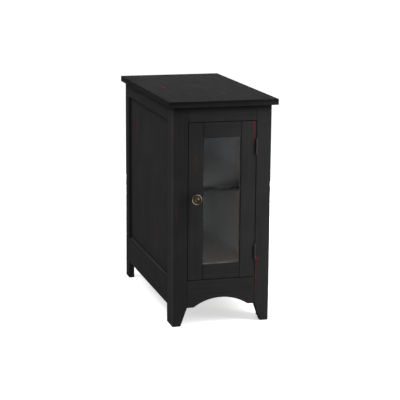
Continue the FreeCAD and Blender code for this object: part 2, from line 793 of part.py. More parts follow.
def hinges():
    frame_screws = []
    door_screws = []
    outer_knuckles = [("0", "knuckle_length"), ("hinge_length - knuckle_length", "knuckle_length")]
    middle_knuckle = [("knuckle_length + knuckle_gap", "hinge_length - 2 * knuckle_length - 2 * knuckle_gap")]
    for name, low in HINGES.items():
        hinge_leaf(name + "_hinge_frame_leaf", low, "leaf_gap / 2", outer_knuckles, "leaf_gap / 2", "+X")
        hinge_leaf(name + "_hinge_door_leaf", low, "-leaf_gap / 2 - leaf_thickness", middle_knuckle,
                   "-leaf_gap / 2", "-X")
        pin = new_piece(name + "_hinge_pin", ("hinge_x", "hinge_y", low))
        cylinder(pin, ADD, "hinge_pin_diameter", "hinge_length", ORIGIN)
        for start in ("-hinge_pin_head_height", "hinge_length"):
            cylinder(pin, ADD, "hinge_pin_head", "hinge_pin_head_height", ("0", "0", start))
        for height in HINGE_SCREW_HEIGHTS:
            for screws, start_x, into in ((frame_screws, "hinge_x + leaf_gap / 2", "+X"),
                                          (door_screws, "hinge_x - leaf_gap / 2", "-X")):
                at = (start_x, "front_y + leaf_depth / 2", low + " + " + height)
                screws.append(screw("hinge_screw", at, into, "hinge_screw_head", "leaf_thickness",
                                    "hinge_screw_shank", "hinge_screw_length", sunk=True))
    group("hinge_frame_screws", frame_screws)
    group("hinge_door_screws", door_screws)


def catch_screw_places():
    """Where the catch's two ears are screwed down, across the table."""
    return ("catch_x - catch_ear_width / 2", "catch_x + catch_block_width + catch_ear_width / 2")


def magnetic_catch():
    """A magnet block screwed to the cabinet floor behind the door, and the plate that it holds."""
    block = new_piece("catch_body", ("catch_x", "catch_y", "floor_z"))
    box(block, ADD, ("catch_block_width", "catch_block_depth", "catch_block_height"), ORIGIN)
    ease(block)
    box(block, ADD, ("catch_block_width + 2 * catch_ear_width", "catch_block_depth", "catch_ear_thickness"),
        ("-catch_ear_width", "0", "0"))
    box(block, CUT, ("magnet_width + 2 * joint_play", "magnet_depth - magnet_proud",
                     "magnet_height + 2 * joint_play"),
        ("(catch_block_width - magnet_width) / 2 - joint_play", "0", "catch_ear_thickness - joint_play"))
    for start in ("-catch_ear_width / 2", "catch_block_width + catch_ear_width / 2"):
        cylinder(block, CUT, "screw_hole", "catch_ear_thickness",
                 (start, "catch_block_depth / 2", "0"))
    magnet = new_piece("catch_magnet", ("catch_x + (catch_block_width - magnet_width) / 2", "magnet_y",
                                        "magnet_z"))
    box(magnet, ADD, ("magnet_width", "magnet_depth", "magnet_height"), ORIGIN)
    screws = []
    for place_x in catch_screw_places():
        body = new_body("catch_screw", (place_x, "catch_y + catch_block_depth / 2", "magnet_z"))
        cylinder(body, ADD, "screw_head", "screw_head_height", ORIGIN)
        cylinder(body, ADD, "screw_shank", "catch_screw_length", ("0", "0", "-catch_screw_length"))
        screws.append(body)
    group("catch_screws", screws)
    strike_plate()


def strike_plate():
    plate = new_piece("strike_plate", ("catch_x + (catch_block_width - magnet_width) / 2", "door_back_y",
                                       "magnet_z"))
    box(plate, ADD, ("magnet_width", "strike_thickness", "magnet_height"), ORIGIN)
    cone(plate, CUT, "hinge_screw_sink", "hinge_screw_hole", "strike_thickness",
         ("magnet_width / 2", "strike_thickness", "magnet_height / 2"), "-Y")
    middle = ("catch_x + catch_block_width / 2", "door_back_y + strike_thickness",
              "magnet_z + magnet_height / 2")
    keep(screw("strike_screw", middle, "-Y", "hinge_screw_head", "strike_thickness", "hinge_screw_shank",
               "strike_screw_length", sunk=True))


def case():
    top_panel()
    left_stile = face_frame_left_stile()
    face_frame_right_stile(left_stile)
    face_frame_top_rail()
    front_apron()
    face_frame_dowels()
    sides()
    back()
    bottom_panel()
    cleats_and_screws()


def door():
    door_frame()
    door_glass()
    glass_beads()
    door_knob()
    hinges()
    magnetic_catch()


def write_parts():
    """Checks every object, then writes one file for each piece."""
    doc.recompute()
    failed = [item.Label for item in doc.Objects if {"Invalid", "Error"} & set(item.State)]
    for piece in nodes:
        if piece.Shape.isNull() or not piece.Shape.isValid():
            failed.append(piece.Label)
    if failed:
        raise RuntimeError("these objects failed: " + ", ".join(failed))
    os.makedirs("parts", exist_ok=True)
    for piece in nodes:
        piece.Shape.exportStep("parts/" + piece.Label + ".step")
    print(len(nodes), "pieces written")


case()
shelf()
shelf_pins()
door()
write_parts()
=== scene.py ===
# %% [markdown]
# A narrow black side table with a glazed door.
# The construction is already made elsewhere at its real size, and it is loaded here as a fixed frame.
# This lesson dresses that frame: boards get rounded edges and paint, the door gets its glass, and the
# knob is turned in brass. Nothing here moves or resizes the construction.

# %% Load the construction
import json
import math

import bpy
from mathutils import Matrix, Vector


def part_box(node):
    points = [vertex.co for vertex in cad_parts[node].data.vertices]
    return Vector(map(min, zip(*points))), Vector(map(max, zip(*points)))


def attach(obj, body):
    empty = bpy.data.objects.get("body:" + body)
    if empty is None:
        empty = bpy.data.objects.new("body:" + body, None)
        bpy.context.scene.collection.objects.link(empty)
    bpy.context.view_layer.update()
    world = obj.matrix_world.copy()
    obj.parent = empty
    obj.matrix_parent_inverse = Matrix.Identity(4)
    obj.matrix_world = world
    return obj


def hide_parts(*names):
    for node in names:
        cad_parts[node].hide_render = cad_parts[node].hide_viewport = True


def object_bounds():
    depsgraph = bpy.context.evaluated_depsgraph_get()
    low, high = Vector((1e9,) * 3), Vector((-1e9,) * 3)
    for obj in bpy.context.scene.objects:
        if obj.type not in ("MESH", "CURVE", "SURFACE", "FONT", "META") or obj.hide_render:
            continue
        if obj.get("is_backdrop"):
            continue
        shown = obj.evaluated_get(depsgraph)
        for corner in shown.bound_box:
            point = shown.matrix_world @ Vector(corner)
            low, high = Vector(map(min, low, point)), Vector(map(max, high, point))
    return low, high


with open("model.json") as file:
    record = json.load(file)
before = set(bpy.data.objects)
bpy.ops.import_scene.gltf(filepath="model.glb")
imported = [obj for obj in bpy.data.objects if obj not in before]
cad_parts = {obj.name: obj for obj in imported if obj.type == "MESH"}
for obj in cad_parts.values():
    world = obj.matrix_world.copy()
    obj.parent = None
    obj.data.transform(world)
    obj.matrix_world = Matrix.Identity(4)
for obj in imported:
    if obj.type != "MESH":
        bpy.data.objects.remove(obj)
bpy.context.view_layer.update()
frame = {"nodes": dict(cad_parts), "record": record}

# %% [markdown]
# The camera stands to the left of the door and a little above the table, with a long lens.
# A camera could be aimed with a constraint, but a matrix built from three directions also takes the
# slight tilt of a hand-held picture, so the three directions are worked out and written in.

# %% Camera
AZIMUTH = math.radians(-16.214)
ELEVATION = math.radians(12.439)
TILT = math.radians(0.4713)
DISTANCE = 3.8427
LENS = 121.03
SENSOR_WIDTH = 36
AIM = Vector((0.01868, 0.009, 0.28265))

back = Vector((math.sin(AZIMUTH) * math.cos(ELEVATION),
               -math.cos(AZIMUTH) * math.cos(ELEVATION),
               math.sin(ELEVATION)))
level = Vector((math.cos(AZIMUTH), math.sin(AZIMUTH), 0))
upright = back.cross(level)
right = math.cos(TILT) * level + math.sin(TILT) * upright
up = math.cos(TILT) * upright - math.sin(TILT) * level

camera = bpy.data.objects.new("camera", bpy.data.cameras.new("camera"))
bpy.context.scene.collection.objects.link(camera)
camera.data.lens = LENS
camera.data.sensor_width = SENSOR_WIDTH
aimed = Matrix((right, up, back)).transposed().to_4x4()
camera.matrix_world = Matrix.Translation(AIM + back * DISTANCE) @ aimed
bpy.context.scene.camera = camera
print("camera at", [round(place, 3) for place in camera.location])

# %% [markdown]
# Every finish below is a small network of shader nodes. Adding and linking nodes one by one is long to
# read, so a class wraps one output socket: arithmetic on it adds Math nodes, and one method adds any
# other node with its settings first and its sockets after.

# %% A shader value that can be used in sums


class Shade:
    """One output socket of a material's node tree."""

    def __init__(self, tree, socket=None):
        self.tree = tree
        self.socket = socket

    def add(self, kind, settings=None, sockets=None, out=0):
        """Adds a node of any kind and gives back one of its outputs."""
        node = self.tree.nodes.new(kind)
        for key, value in (settings or {}).items():
            setattr(node, key, value)
        for key, value in (sockets or {}).items():
            if isinstance(value, Shade):
                self.tree.links.new(value.socket, node.inputs[key])
            else:
                node.inputs[key].default_value = value
        return Shade(self.tree, node.outputs[out])

    def math(self, operation, first, second=0.0):
        return self.add("ShaderNodeMath", {"operation": operation}, {0: first, 1: second})

    def __add__(self, other):
        return self.math("ADD", self, other)

    def __sub__(self, other):
        return self.math("SUBTRACT", self, other)

    def __mul__(self, other):
        return self.math("MULTIPLY", self, other)

    def __rsub__(self, other):
        return self.math("SUBTRACT", other, self)

    __radd__ = __add__
    __rmul__ = __mul__

    def max(self, other):
        return self.math("MAXIMUM", self, other)

    def step(self, low, high):
        """Rises smoothly from 0 at low to 1 at high, or falls where low is above high."""
        ends = {"From Min": min(low, high), "From Max": max(low, high)}
        if low > high:
            ends.update({"To Min": 1.0, "To Max": 0.0})
        return self.add("ShaderNodeMapRange", {"interpolation_type": "SMOOTHSTEP"}, {"Value": self, **ends})

    def mix(self, first, second):
        """A colour between two colours, by this value."""
        return self.add("ShaderNodeMix", {"data_type": "RGBA"}, {0: self, 6: first, 7: second}, out=2)


print("shader values can be added, subtracted, multiplied, stepped and mixed")

# %% [markdown]
# A finish is a material with one Principled surface. Short helpers make a new one, link a varying value to
# it, emboss it, and add what nearly every finish here starts from: noise, and a mapping that draws the noise
# out along one direction, as the grain is drawn out along a board.

# %% Helpers for finishes


def new_finish(name):
    """A material with a Principled surface: the material, its tree and the surface's sockets."""
    material = bpy.data.materials.new(name)
    material.use_nodes = True
    surface = material.node_tree.nodes["Principled BSDF"]
    return material, Shade(material.node_tree), surface.inputs


def feed(sockets, name, value):
    """Links a varying value to a surface's socket."""
    value.tree.links.new(value.socket, sockets[name])


def emboss(surface, shade, height, strength, depth):
    """Gives a surface the relief of a varying height."""
    feed(surface, "Normal", shade.add("ShaderNodeBump", sockets={"Strength": strength, "Distance": depth,
                                                                 "Height": height}))


def noise(shade, place, scale, detail=2.0, roughness=0.5):
    return shade.add("ShaderNodeTexNoise", sockets={"Vector": place, "Scale": scale, "Detail": detail,
                                                    "Roughness": roughness})


def stretched(shade, place, factors):
    """The same coordinates, drawn out where a factor is small."""
    return shade.add("ShaderNodeMapping", sockets={"Vector": place, "Scale": factors})


print("shader helpers are ready")

# %% [markdown]
# The table stands on a plain white floor in front of nothing. The white is only what the camera, mirrors and
# glass see: for all other rays the world is a dimmer grey, so the black paint is lit at a plain level. The
# floor adds some of its own white in the same way, more of it far away where the lamps don't reach, and the
# rest of its brightness is real light, which leaves a faint shadow round the feet.

# %% Floor and world
WORLD_LEVEL = 0.22
FLOOR_OWN_WHITE = (0.6, 0.6, 0.6, 1)
FAR_FLOOR_WHITE = (0.86, 0.86, 0.86, 1)
FLOOR_PAPER = (0.94, 0.94, 0.94, 1)
FLOOR_HALF = 12.0
FLOOR_DROP = 0.0004
NEAR_FLOOR, FAR_FLOOR = 0.6, 2.2
BLACKNESS = (0, 0, 0, 1)
WHITE = (1, 1, 1, 1)


def seen_directly(shade):
    """1 for the rays that carry a picture: from the camera, off gloss and through glass."""
    rays = ["Is Camera Ray", "Is Glossy Ray", "Is Transmission Ray"]
    camera_ray, glossy_ray, through_ray = [shade.add("ShaderNodeLightPath", out=ray) for ray in rays]
    return camera_ray.max(glossy_ray).max(through_ray)


world = bpy.data.worlds.new("studio")
bpy.context.scene.world = world
world.use_nodes = True
sky = world.node_tree.nodes["Background"].inputs
sky["Color"].default_value = WHITE
feed(sky, "Strength", WORLD_LEVEL + (1 - WORLD_LEVEL) * seen_directly(Shade(world.node_tree)))

bpy.ops.object.select_all(action="DESELECT")
bpy.ops.mesh.primitive_plane_add(size=2 * FLOOR_HALF, location=(0, 0, -FLOOR_DROP))
floor = bpy.context.active_object
floor.name = "floor"
floor_finish, shade, surface = new_finish("floor_white")
surface["Base Color"].default_value = FLOOR_PAPER
surface["Roughness"].default_value = 1.0
surface["Specular IOR Level"].default_value = 0.0
surface["Emission Strength"].default_value = 1.0
floor_place = shade.add("ShaderNodeTexCoord", out="Object")
away = shade.add("ShaderNodeVectorMath", {"operation": "LENGTH"}, {0: floor_place}, out="Value")
own_white = away.step(NEAR_FLOOR, FAR_FLOOR).mix(FLOOR_OWN_WHITE, FAR_FLOOR_WHITE)
feed(surface, "Emission Color", seen_directly(shade).mix(BLACKNESS, own_white))
floor.data.materials.append(floor_finish)
floor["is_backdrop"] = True
print("floor and world are set")

# %% [markdown]
# Two soft boxes light the table: a tall one at the front right and a wide one high on the left. A third one
# stands low behind it, for the views of its back. An area lamp stands for each, because its size gives the
# soft edges of the shadows, and the camera doesn't see it.

# %% Soft boxes


def soft_box(name, place, aim, width, height, watts):
    """A soft box that points at one spot."""
    lamp = bpy.data.lights.new(name, "AREA")
    lamp.shape = "RECTANGLE"
    lamp.size = width
    lamp.size_y = height
    lamp.energy = watts
    holder = bpy.data.objects.new(name, lamp)
    bpy.context.scene.collection.objects.link(holder)
    holder.location = place
    holder.rotation_euler = (Vector(aim) - Vector(place)).to_track_quat("-Z", "Y").to_euler()
    holder.visible_camera = False


soft_box("tall_box", (0.6, -0.62, 0.78), (0.0, -0.26, 0.45), 0.25, 1.5, 12)
soft_box("side_box", (-0.9, 0.1, 1.65), (-0.13, 0.0, 0.3), 1.0, 1.2, 21)
soft_box("rear_box", (0.75, 1.5, 0.4), (0.05, 0.28, 0.33), 1.2, 0.8, 22)
bpy.context.scene.view_settings.view_transform = "Standard"
print("soft boxes are set")

# %% [markdown]
# The paint is a satin antique black over red, on wood. Brushed paint follows the grain, so noise that is
# drawn out along each board gives faint streaks in the colour, the gloss and the surface. Some boards are
# darker towards some edges, under the overhanging top and in the corners of recesses: that darkening is
# painted shade. In a few places the black is rubbed through, and thin red scratches show. Each rub is a soft
# ellipsoid at a real place on the table, filled with streaks, which keeps it where it is from every side. The
# gloss is turned almost off, because at a satin paint's own gloss the white studio is mirrored in it and
# turns the black grey.

# %% Black paint
BLACK = (0.0190, 0.0189, 0.0192)
WORN_BLACK = (0.0255, 0.0253, 0.0254)
PAINTED_SHADE = (0.003, 0.003, 0.003, 1)
RED = (0.105, 0.012, 0.015, 1)
ALONG = {"x": (0.03, 1, 1), "y": (1, 0.03, 1), "z": (1, 1, 0.03)}
PORES, SCRATCHES, STREAKS, PATCHES = 900, 420, 190, 14
PAINT_GLOSS = 0.0004
PAINT_RELIEF = 0.0003


def toned(colour, tone):
    """A colour made lighter or darker, with its alpha."""
    return tuple(tone * part for part in colour) + (1,)


def axis_of(shade, place, axis):
    return shade.add("ShaderNodeSeparateXYZ", sockets={0: place}, out=axis)


def black_paint(name, grain, tone=1.0, rubs=(), painted_shades=()):
    """Satin black paint with its streaks along one axis, lighter or darker by its tone."""
    material, shade, surface = new_finish(name)
    place = shade.add("ShaderNodeTexCoord", out="Object")
    drawn = stretched(shade, place, ALONG[grain])
    pores = noise(shade, drawn, PORES, detail=3)
    streaks = noise(shade, drawn, STREAKS, detail=5, roughness=0.65)
    patches = noise(shade, place, PATCHES, detail=3)
    worn = (streaks * 0.75 + patches * 0.5).step(0.4, 0.9)
    colour = worn.mix(toned(BLACK, tone), toned(WORN_BLACK, tone))
    # painted shade: the colour darkens towards one edge along an axis
    for axis, thick, thin, strength in painted_shades:
        colour = (strength * axis_of(shade, place, axis).step(thin, thick)).mix(colour, PAINTED_SHADE)
    scratches = noise(shade, drawn, SCRATCHES, detail=3, roughness=0.6).step(0.40, 0.60)
    for centre, half, strength in rubs:
        offset = shade.add("ShaderNodeVectorMath", {"operation": "SUBTRACT"}, {0: place, 1: centre})
        scaled = shade.add("ShaderNodeVectorMath", {"operation": "DIVIDE"}, {0: offset, 1: half})
        reach = shade.add("ShaderNodeVectorMath", {"operation": "LENGTH"}, {0: scaled}, out="Value")
        colour = (strength * (reach.step(1.0, 0.3) * (0.3 + 0.7 * scratches))).mix(colour, RED)
    feed(surface, "Base Color", colour)
    feed(surface, "Roughness", 0.60 - 0.16 * streaks)
    surface["Specular IOR Level"].default_value = PAINT_GLOSS
    emboss(surface, shade, pores * 0.6 + streaks * 0.4, 0.25, PAINT_RELIEF)
    return material


print("antique black:", [round(part, 4) for part in BLACK])

# %% [markdown]
# Most boards share one paint for each direction of the grain. Some have their own: the ones that are rubbed
# through, the ones that darken under the overhanging top and in their recesses, which is painted shade, and
# the ones whose whole tone is painted light and shade: the side stiles lighter, the top darker and darker
# still towards its front, and the front boards lighter towards the right. A painted shade is given by the
# axis that it fades along, the places where it is full and where it ends, and its strength.

# %% Rubbed places, painted shade and painted light
MM = 0.001


def rub(x, y, z, half_x, half_y, half_z, strength):
    """A rubbed place: its middle and its half sizes, in millimetres, and how red it is."""
    return ((x * MM, y * MM, z * MM), (half_x * MM, half_y * MM, half_z * MM), strength)


RUBS = {
    "top_panel": [rub(-90, 14, 610, 7, 46, 4, 0.75), rub(-84, 92, 610, 6, 44, 4, 0.45),
                  rub(-97, -74, 610, 6, 36, 4, 0.35), rub(-50, 114, 610, 7, 20, 4, 0.35),
                  rub(38, -122, 610, 7, 22, 4, 0.3), rub(37, -152, 610, 7, 18, 4, 0.4)],
    "face_frame_left_stile": [rub(-125, -264, 312, 3.6, 4, 42, 0.32), rub(-130, -264, 118, 3, 4, 14, 0.25),
                              rub(-135, -252, 522, 4, 8, 26, 0.4)],
    "face_frame_right_stile": [rub(101, -264, 174, 5.5, 4, 9, 0.9), rub(99, -264, 158, 4, 4, 8, 0.75),
                               rub(98.5, -264, 127, 4, 4, 25, 1.0), rub(98.5, -264, 96, 3.5, 4, 22, 0.6)],
    "front_apron": [rub(79, -262, 51, 9, 6, 5, 1.0)],
    "door_left_stile": [rub(-73, -264, 454, 6, 4, 17, 0.5), rub(-72, -264, 428, 6, 4, 10, 0.4)],
    "door_right_stile": [rub(87, -264, 540, 3.8, 4, 28, 0.85), rub(85.5, -264, 502, 3.5, 4, 34, 0.5)],
    "left_side_panel": [rub(-127, 170, 478, 4, 10, 34, 0.75), rub(-127, 168, 436, 4, 9, 12, 0.5),
                        rub(-127, -30, 536, 4, 8, 14, 0.4), rub(-127, -60, 196, 4, 12, 52, 0.33),
                        rub(-127, -150, 366, 4, 8, 24, 0.25)],
    "left_side_top_rail": [rub(-135, 55, 580, 4, 85, 5, 0.3)],
    "left_side_bottom_rail": [rub(-135, -98, 73, 4, 28, 7, 0.45)],
}
# Painted light and shade in the tones of single boards: the side stiles lighter, the top darker, the front
# boards lighter towards the right.
BOARD_LIGHT_AND_SHADE = {"left_side_front_stile": 1.14, "right_side_front_stile": 1.14, "face_frame_left_stile": 0.9,
         "face_frame_right_stile": 1.05, "door_right_stile": 1.1, "top_panel": 0.75}
# Painted shade: under the overhanging top, beside the front stile and under the top rail on the side panels,
# and across the top towards its front.
OVERHANG_SHADE = ("Z", 0.594, 0.572, 0.72)
OVERHANG_SHADE_SIDE = ("Z", 0.594, 0.578, 0.4)
STILE_SHADE = ("Y", -0.2055, -0.155, 0.55)
RAIL_SHADE = ("Z", 0.553, 0.540, 0.25)
TOP_FRONT_SHADE = ("Y", -0.28, 0.12, 0.12)
PAINTED_SHADES = {"top_panel": [TOP_FRONT_SHADE]}
for name in ("left_stile", "right_stile", "top_rail"):
    PAINTED_SHADES["face_frame_" + name] = [OVERHANG_SHADE]
for side in ("left_side_", "right_side_"):
    PAINTED_SHADES.update({side + name: [OVERHANG_SHADE_SIDE] for name in ("front_stile", "rear_stile", "top_rail")})
    PAINTED_SHADES[side + "panel"] = [STILE_SHADE, RAIL_SHADE]

PLAIN_PAINT = {grain: black_paint("black_paint_" + grain, grain) for grain in ALONG}
EDGE_PAINT = {grain: black_paint("black_edge_" + grain, grain, tone=0.5) for grain in ALONG}


def paint_for(name, grain):
    """The paint of one board: its own where it differs, or else the common one."""
    if name in RUBS or name in BOARD_LIGHT_AND_SHADE or name in PAINTED_SHADES:
        return black_paint("black_paint_" + name, grain, BOARD_LIGHT_AND_SHADE.get(name, 1.0),
                           RUBS.get(name, ()), PAINTED_SHADES.get(name, ()))
    return PLAIN_PAINT[grain]


# the second count is of the boards with painted shade
print("rubbed boards:", len(RUBS), "glazed boards:", len(PAINTED_SHADES))

# %% [markdown]
# Inside, the boards are left as bare pressed board, nearly white on the walls, grey on the shelf and a warm
# grey on the floor: through the glass the inside shows lighter than the paint. A pressed board has no figure,
# so fine noise on a plain colour is enough. The walls and the floor are warmer near the door. The front of
# the shelf's top is darker, which is painted shade over the light that falls through the pane, and its
# underside is darker towards the front. These fade with the distance from the door, so they are a mix by
# depth. The walls are darker under the shelf too, less towards the floor, which is painted shade and a mix
# by height. The paint of the outside ends at the edge of the case, and on the shelf it runs on over a strip
# behind the front edge, which darkens it as painted shade too, so it takes over outside a range.

# %% Bare board
PAINT_LINE = 0.002
FIBRES, CLOUDS = 700, 22
WAVER = 0.02
BOARD_GLOSS = 0.05


def bare_board(name, dark, light, near_door=None, under_shelf=None, bare_range=None):
    """Unpainted pressed board. near_door is a colour and the depths where it is full and where it ends,
    under_shelf is a colour and the heights where it begins and where the shelf ends it, and bare_range gives
    the lowest and the highest place along an axis: outside it the board is painted."""
    material, shade, surface = new_finish(name)
    place = shade.add("ShaderNodeTexCoord", out="Object")
    fibres = noise(shade, place, FIBRES, detail=4, roughness=0.7)
    clouds = noise(shade, place, CLOUDS, detail=3)
    colour = (fibres * 0.5 + clouds * 0.5).step(0.3, 0.7).mix(dark, light)
    if under_shelf:
        grey, start, end = under_shelf
        height = axis_of(shade, place, "Z")
        colour = (height.step(start, end) * height.step(end + PAINT_LINE, end)).mix(colour, grey)
    if near_door:
        front_colour, full, end = near_door
        depth = axis_of(shade, place, "Y") + WAVER * (clouds - 0.5)
        colour = depth.step(end, full).mix(colour, front_colour)
    for axis, (low, high) in (bare_range or {}).items():
        across = axis_of(shade, place, axis)
        painted = across.step(low + PAINT_LINE, low).max(across.step(high - PAINT_LINE, high))
        colour = painted.mix(colour, toned(BLACK, 1.0))
    feed(surface, "Base Color", colour)
    feed(surface, "Roughness", 0.62 + 0.2 * fibres)
    surface["Specular IOR Level"].default_value = BOARD_GLOSS
    emboss(surface, shade, fibres, 0.15, 0.0002)
    return material


print("the paint ends over a line of", PAINT_LINE)

# %% [markdown]
# Each bare face has its own tones: its dark and light fibres, its warmer places and its darker ones, some
# of which are painted shade. Where a tone begins and ends is measured in metres on the table, so it stays
# there from every side.

# %% Bare faces inside
WHITE_BOARD = (0.87, 0.89, 0.92, 1), (0.93, 0.95, 0.97, 1)
SHELF_BOARD = (0.46, 0.47, 0.485, 1), (0.51, 0.52, 0.535, 1)
WARM_BOARD = (0.41, 0.40, 0.39, 1), (0.50, 0.485, 0.47, 1)
# the black strip on the shelf's top behind its edge is painted shade as well as paint
PAINTED_STRIP = 0.02

shelf_low, shelf_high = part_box("shelf")
WARMER_WALL_NEAR_DOOR = ((0.62, 0.53, 0.46, 1), -0.07, 0.01)
WARMER_FLOOR_NEAR_DOOR = ((0.54, 0.495, 0.455, 1), -0.08, 0.0)
# painted shade: the walls darker under the shelf
WALL_SHADE_UNDER_SHELF = ((0.28, 0.29, 0.295, 1), 0.12, shelf_low.z)
# painted shade: the shelf's top darker behind its front edge
SHELF_FRONT_SHADE = ((0.085, 0.086, 0.088, 1), shelf_low.y + PAINTED_STRIP, shelf_low.y + 0.17)
DARKER_UNDERSIDE_FRONT = ((0.05, 0.05, 0.05, 1), shelf_low.y, shelf_low.y + 0.2)

CASE_INSIDE = {"X": (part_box("left_side_panel")[0].x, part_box("right_side_panel")[1].x),
               "Y": (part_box("left_side_front_stile")[0].y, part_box("back_panel")[0].y)}
ABOVE_FLOOR = {"Z": (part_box("bottom_panel")[0].z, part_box("top_panel")[0].z + PAINT_LINE)}
BEHIND_STRIP = {"Y": (shelf_low.y + PAINTED_STRIP, shelf_high.y + PAINT_LINE)}

BARE_WALL = bare_board("bare_wall", *WHITE_BOARD, near_door=WARMER_WALL_NEAR_DOOR, under_shelf=WALL_SHADE_UNDER_SHELF,
                       bare_range=ABOVE_FLOOR)
BARE_CEILING = bare_board("bare_ceiling", *WHITE_BOARD, bare_range=CASE_INSIDE)
BARE_SHELF = bare_board("bare_shelf", *SHELF_BOARD, near_door=SHELF_FRONT_SHADE, bare_range=BEHIND_STRIP)
BARE_UNDERSIDE = bare_board("bare_underside", *WARM_BOARD, near_door=DARKER_UNDERSIDE_FRONT)
BARE_FLOOR = bare_board("bare_floor", *WARM_BOARD, near_door=WARMER_FLOOR_NEAR_DOOR)
print("bare inside faces are white on the walls, grey on the shelf and warm grey below")

# %% [markdown]
# A board starts as a cube primitive that is stretched between two corners. An operator in edit mode acts on
# all that is selected, so one helper makes a piece active, and another selects its corners by their place.

# %% Tools for blocks


def block(name, low, high):
    """A cube primitive between two corners, with its place kept in its mesh."""
    bpy.ops.object.select_all(action="DESELECT")
    bpy.ops.mesh.primitive_cube_add(size=1, location=(low + high) / 2, scale=high - low)
    bpy.ops.object.transform_apply(location=True, rotation=True, scale=True)
    piece = bpy.context.active_object
    piece.name = name
    piece.data.name = name
    return piece


def make_active(piece):
    bpy.ops.object.select_all(action="DESELECT")
    piece.select_set(True)
    bpy.context.view_layer.objects.active = piece


def anywhere(place):
    return True


def pick(piece, test=anywhere):
    """Selects the corners of a mesh that pass a test, and stays in edit mode."""
    bpy.ops.object.mode_set(mode="OBJECT")
    make_active(piece)
    bpy.ops.object.mode_set(mode="EDIT")
    bpy.ops.mesh.select_mode(type="VERT")
    bpy.ops.mesh.select_all(action="DESELECT")
    bpy.ops.object.mode_set(mode="OBJECT")
    for corner in piece.data.vertices:
        corner.select = test(corner.co)
    bpy.ops.object.mode_set(mode="EDIT")


print("block tools are ready")

# %% [markdown]
# Real boards are sanded before they are painted, so every sharp edge is rounded by a Bevel modifier. The
# modifier can give its new faces a second material, which is how the worn edges get a coat of their own, and
# hardened normals keep the wide faces flat in the light. Rabbets and holes could be drawn face by face, but a
# Boolean modifier with a cutter of the tool's shape says plainly what was taken away.

# %% Tools for cutting and rounding
EDGE_RADIUS = 0.0009
EDGE_ANGLE = math.radians(30)
SHARP_ANGLE = math.radians(40)
HOLE_SIDES = 24


def apply(piece, kind, **settings):
    """Adds a modifier, sets it up and applies it."""
    make_active(piece)
    modifier = piece.modifiers.new(kind.lower(), kind)
    for key, value in settings.items():
        setattr(modifier, key, value)
    bpy.ops.object.modifier_apply(modifier=modifier.name)


def carve(piece, cutter):
    """Takes the cutter's shape out of a piece, and the cutter away."""
    apply(piece, "BOOLEAN", object=cutter, operation="DIFFERENCE", solver="EXACT")
    bpy.data.objects.remove(cutter)


def soften(piece, radius=EDGE_RADIUS, steps=3):
    """Rounds every sharp edge and gives the new faces the second material."""
    make_active(piece)
    bpy.ops.object.shade_smooth()
    apply(piece, "BEVEL", width=radius, segments=steps, limit_method="ANGLE", angle_limit=EDGE_ANGLE,
          harden_normals=True, material=min(1, len(piece.data.materials) - 1))


def drill(piece, radius, start, end):
    """Bores a round hole from one point to another."""
    along = end - start
    bpy.ops.object.select_all(action="DESELECT")
    bpy.ops.mesh.primitive_cylinder_add(vertices=HOLE_SIDES, radius=radius, depth=along.length,
                                        location=(start + end) / 2,
                                        rotation=along.to_track_quat("Z", "Y").to_euler())
    carve(piece, bpy.context.active_object)


def relight(piece):
    """Keeps a drilled board's wide faces flat in the light and the rims of its holes sharp."""
    make_active(piece)
    bpy.ops.object.shade_smooth_by_angle(angle=SHARP_ANGLE)
    apply(piece, "WEIGHTED_NORMAL", weight=100, keep_sharp=True)


print("edge radius in millimetres:", round(EDGE_RADIUS / MM, 2))

# %% [markdown]
# A board's faces don't all have one finish: outside it is painted, and inside it may be bare. A wide face is
# found by the way it looks, and a rounded edge by the second material that the bevel gave it. A finished
# board stands for one node of the construction and moves with that node's body.

# %% Tools for painted boards
FACING = 0.98


def recoat(piece, direction, material, test=anywhere):
    """Gives the wide faces that look one way and pass a test another finish."""
    piece.data.materials.append(material)
    for face in piece.data.polygons:
        if face.normal.dot(direction) > FACING and face.material_index == 0 and test(face.center):
            face.material_index = len(piece.data.materials) - 1


def recoat_edge(piece, test, material):
    """Gives the rounded edges that pass a test another finish."""
    piece.data.materials.append(material)
    for face in piece.data.polygons:
        if face.material_index == 1 and test(face.center):
            face.material_index = len(piece.data.materials) - 1


def settle(piece, body, slot, *nodes):
    """Lets a finished piece stand for its construction nodes and move with their body."""
    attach(piece, body)
    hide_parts(*nodes)
    return piece


def painted_block(node, low, high, grain):
    """A block with the paint of one board and the paint of its edges."""
    piece = block(node + "_board", low, high)
    piece.data.materials.append(paint_for(node, grain))
    piece.data.materials.append(EDGE_PAINT[grain])
    return piece


def board(node, low, high, grain, body="case", split_x=None, cutter=None):
    """A painted board that stands for one node. It may be split across at one x, so that its edges can take
    two finishes, and a cutter's shape may be taken out of it."""
    piece = painted_block(node, low, high, grain)
    if split_x:
        pick(piece)
        bpy.ops.mesh.bisect(plane_co=(split_x, 0, 0), plane_no=(1, 0, 0))
        bpy.ops.object.mode_set(mode="OBJECT")
    if cutter:
        carve(piece, cutter)
    soften(piece)
    return settle(piece, body, "black_paint", node)


print("board tools are ready")

# %% [markdown]
# The top is one solid slab that hangs over the case at the front and the sides. Its face is darker than the
# other boards and darker towards the front, which is painted shade. Its edges are darker than its face, and
# the front edge darkens further towards its upper arris, which is painted shade too.

# %% Top
LEFT, RIGHT = Vector((-1, 0, 0)), Vector((1, 0, 0))
FRONT, REAR = Vector((0, -1, 0)), Vector((0, 1, 0))
DOWN, UP = Vector((0, 0, -1)), Vector((0, 0, 1))

top_low, top_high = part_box("top_panel")
top = board("top_panel", top_low, top_high, "y")
side_edge = black_paint("black_top_side_edge", "y", tone=0.58)
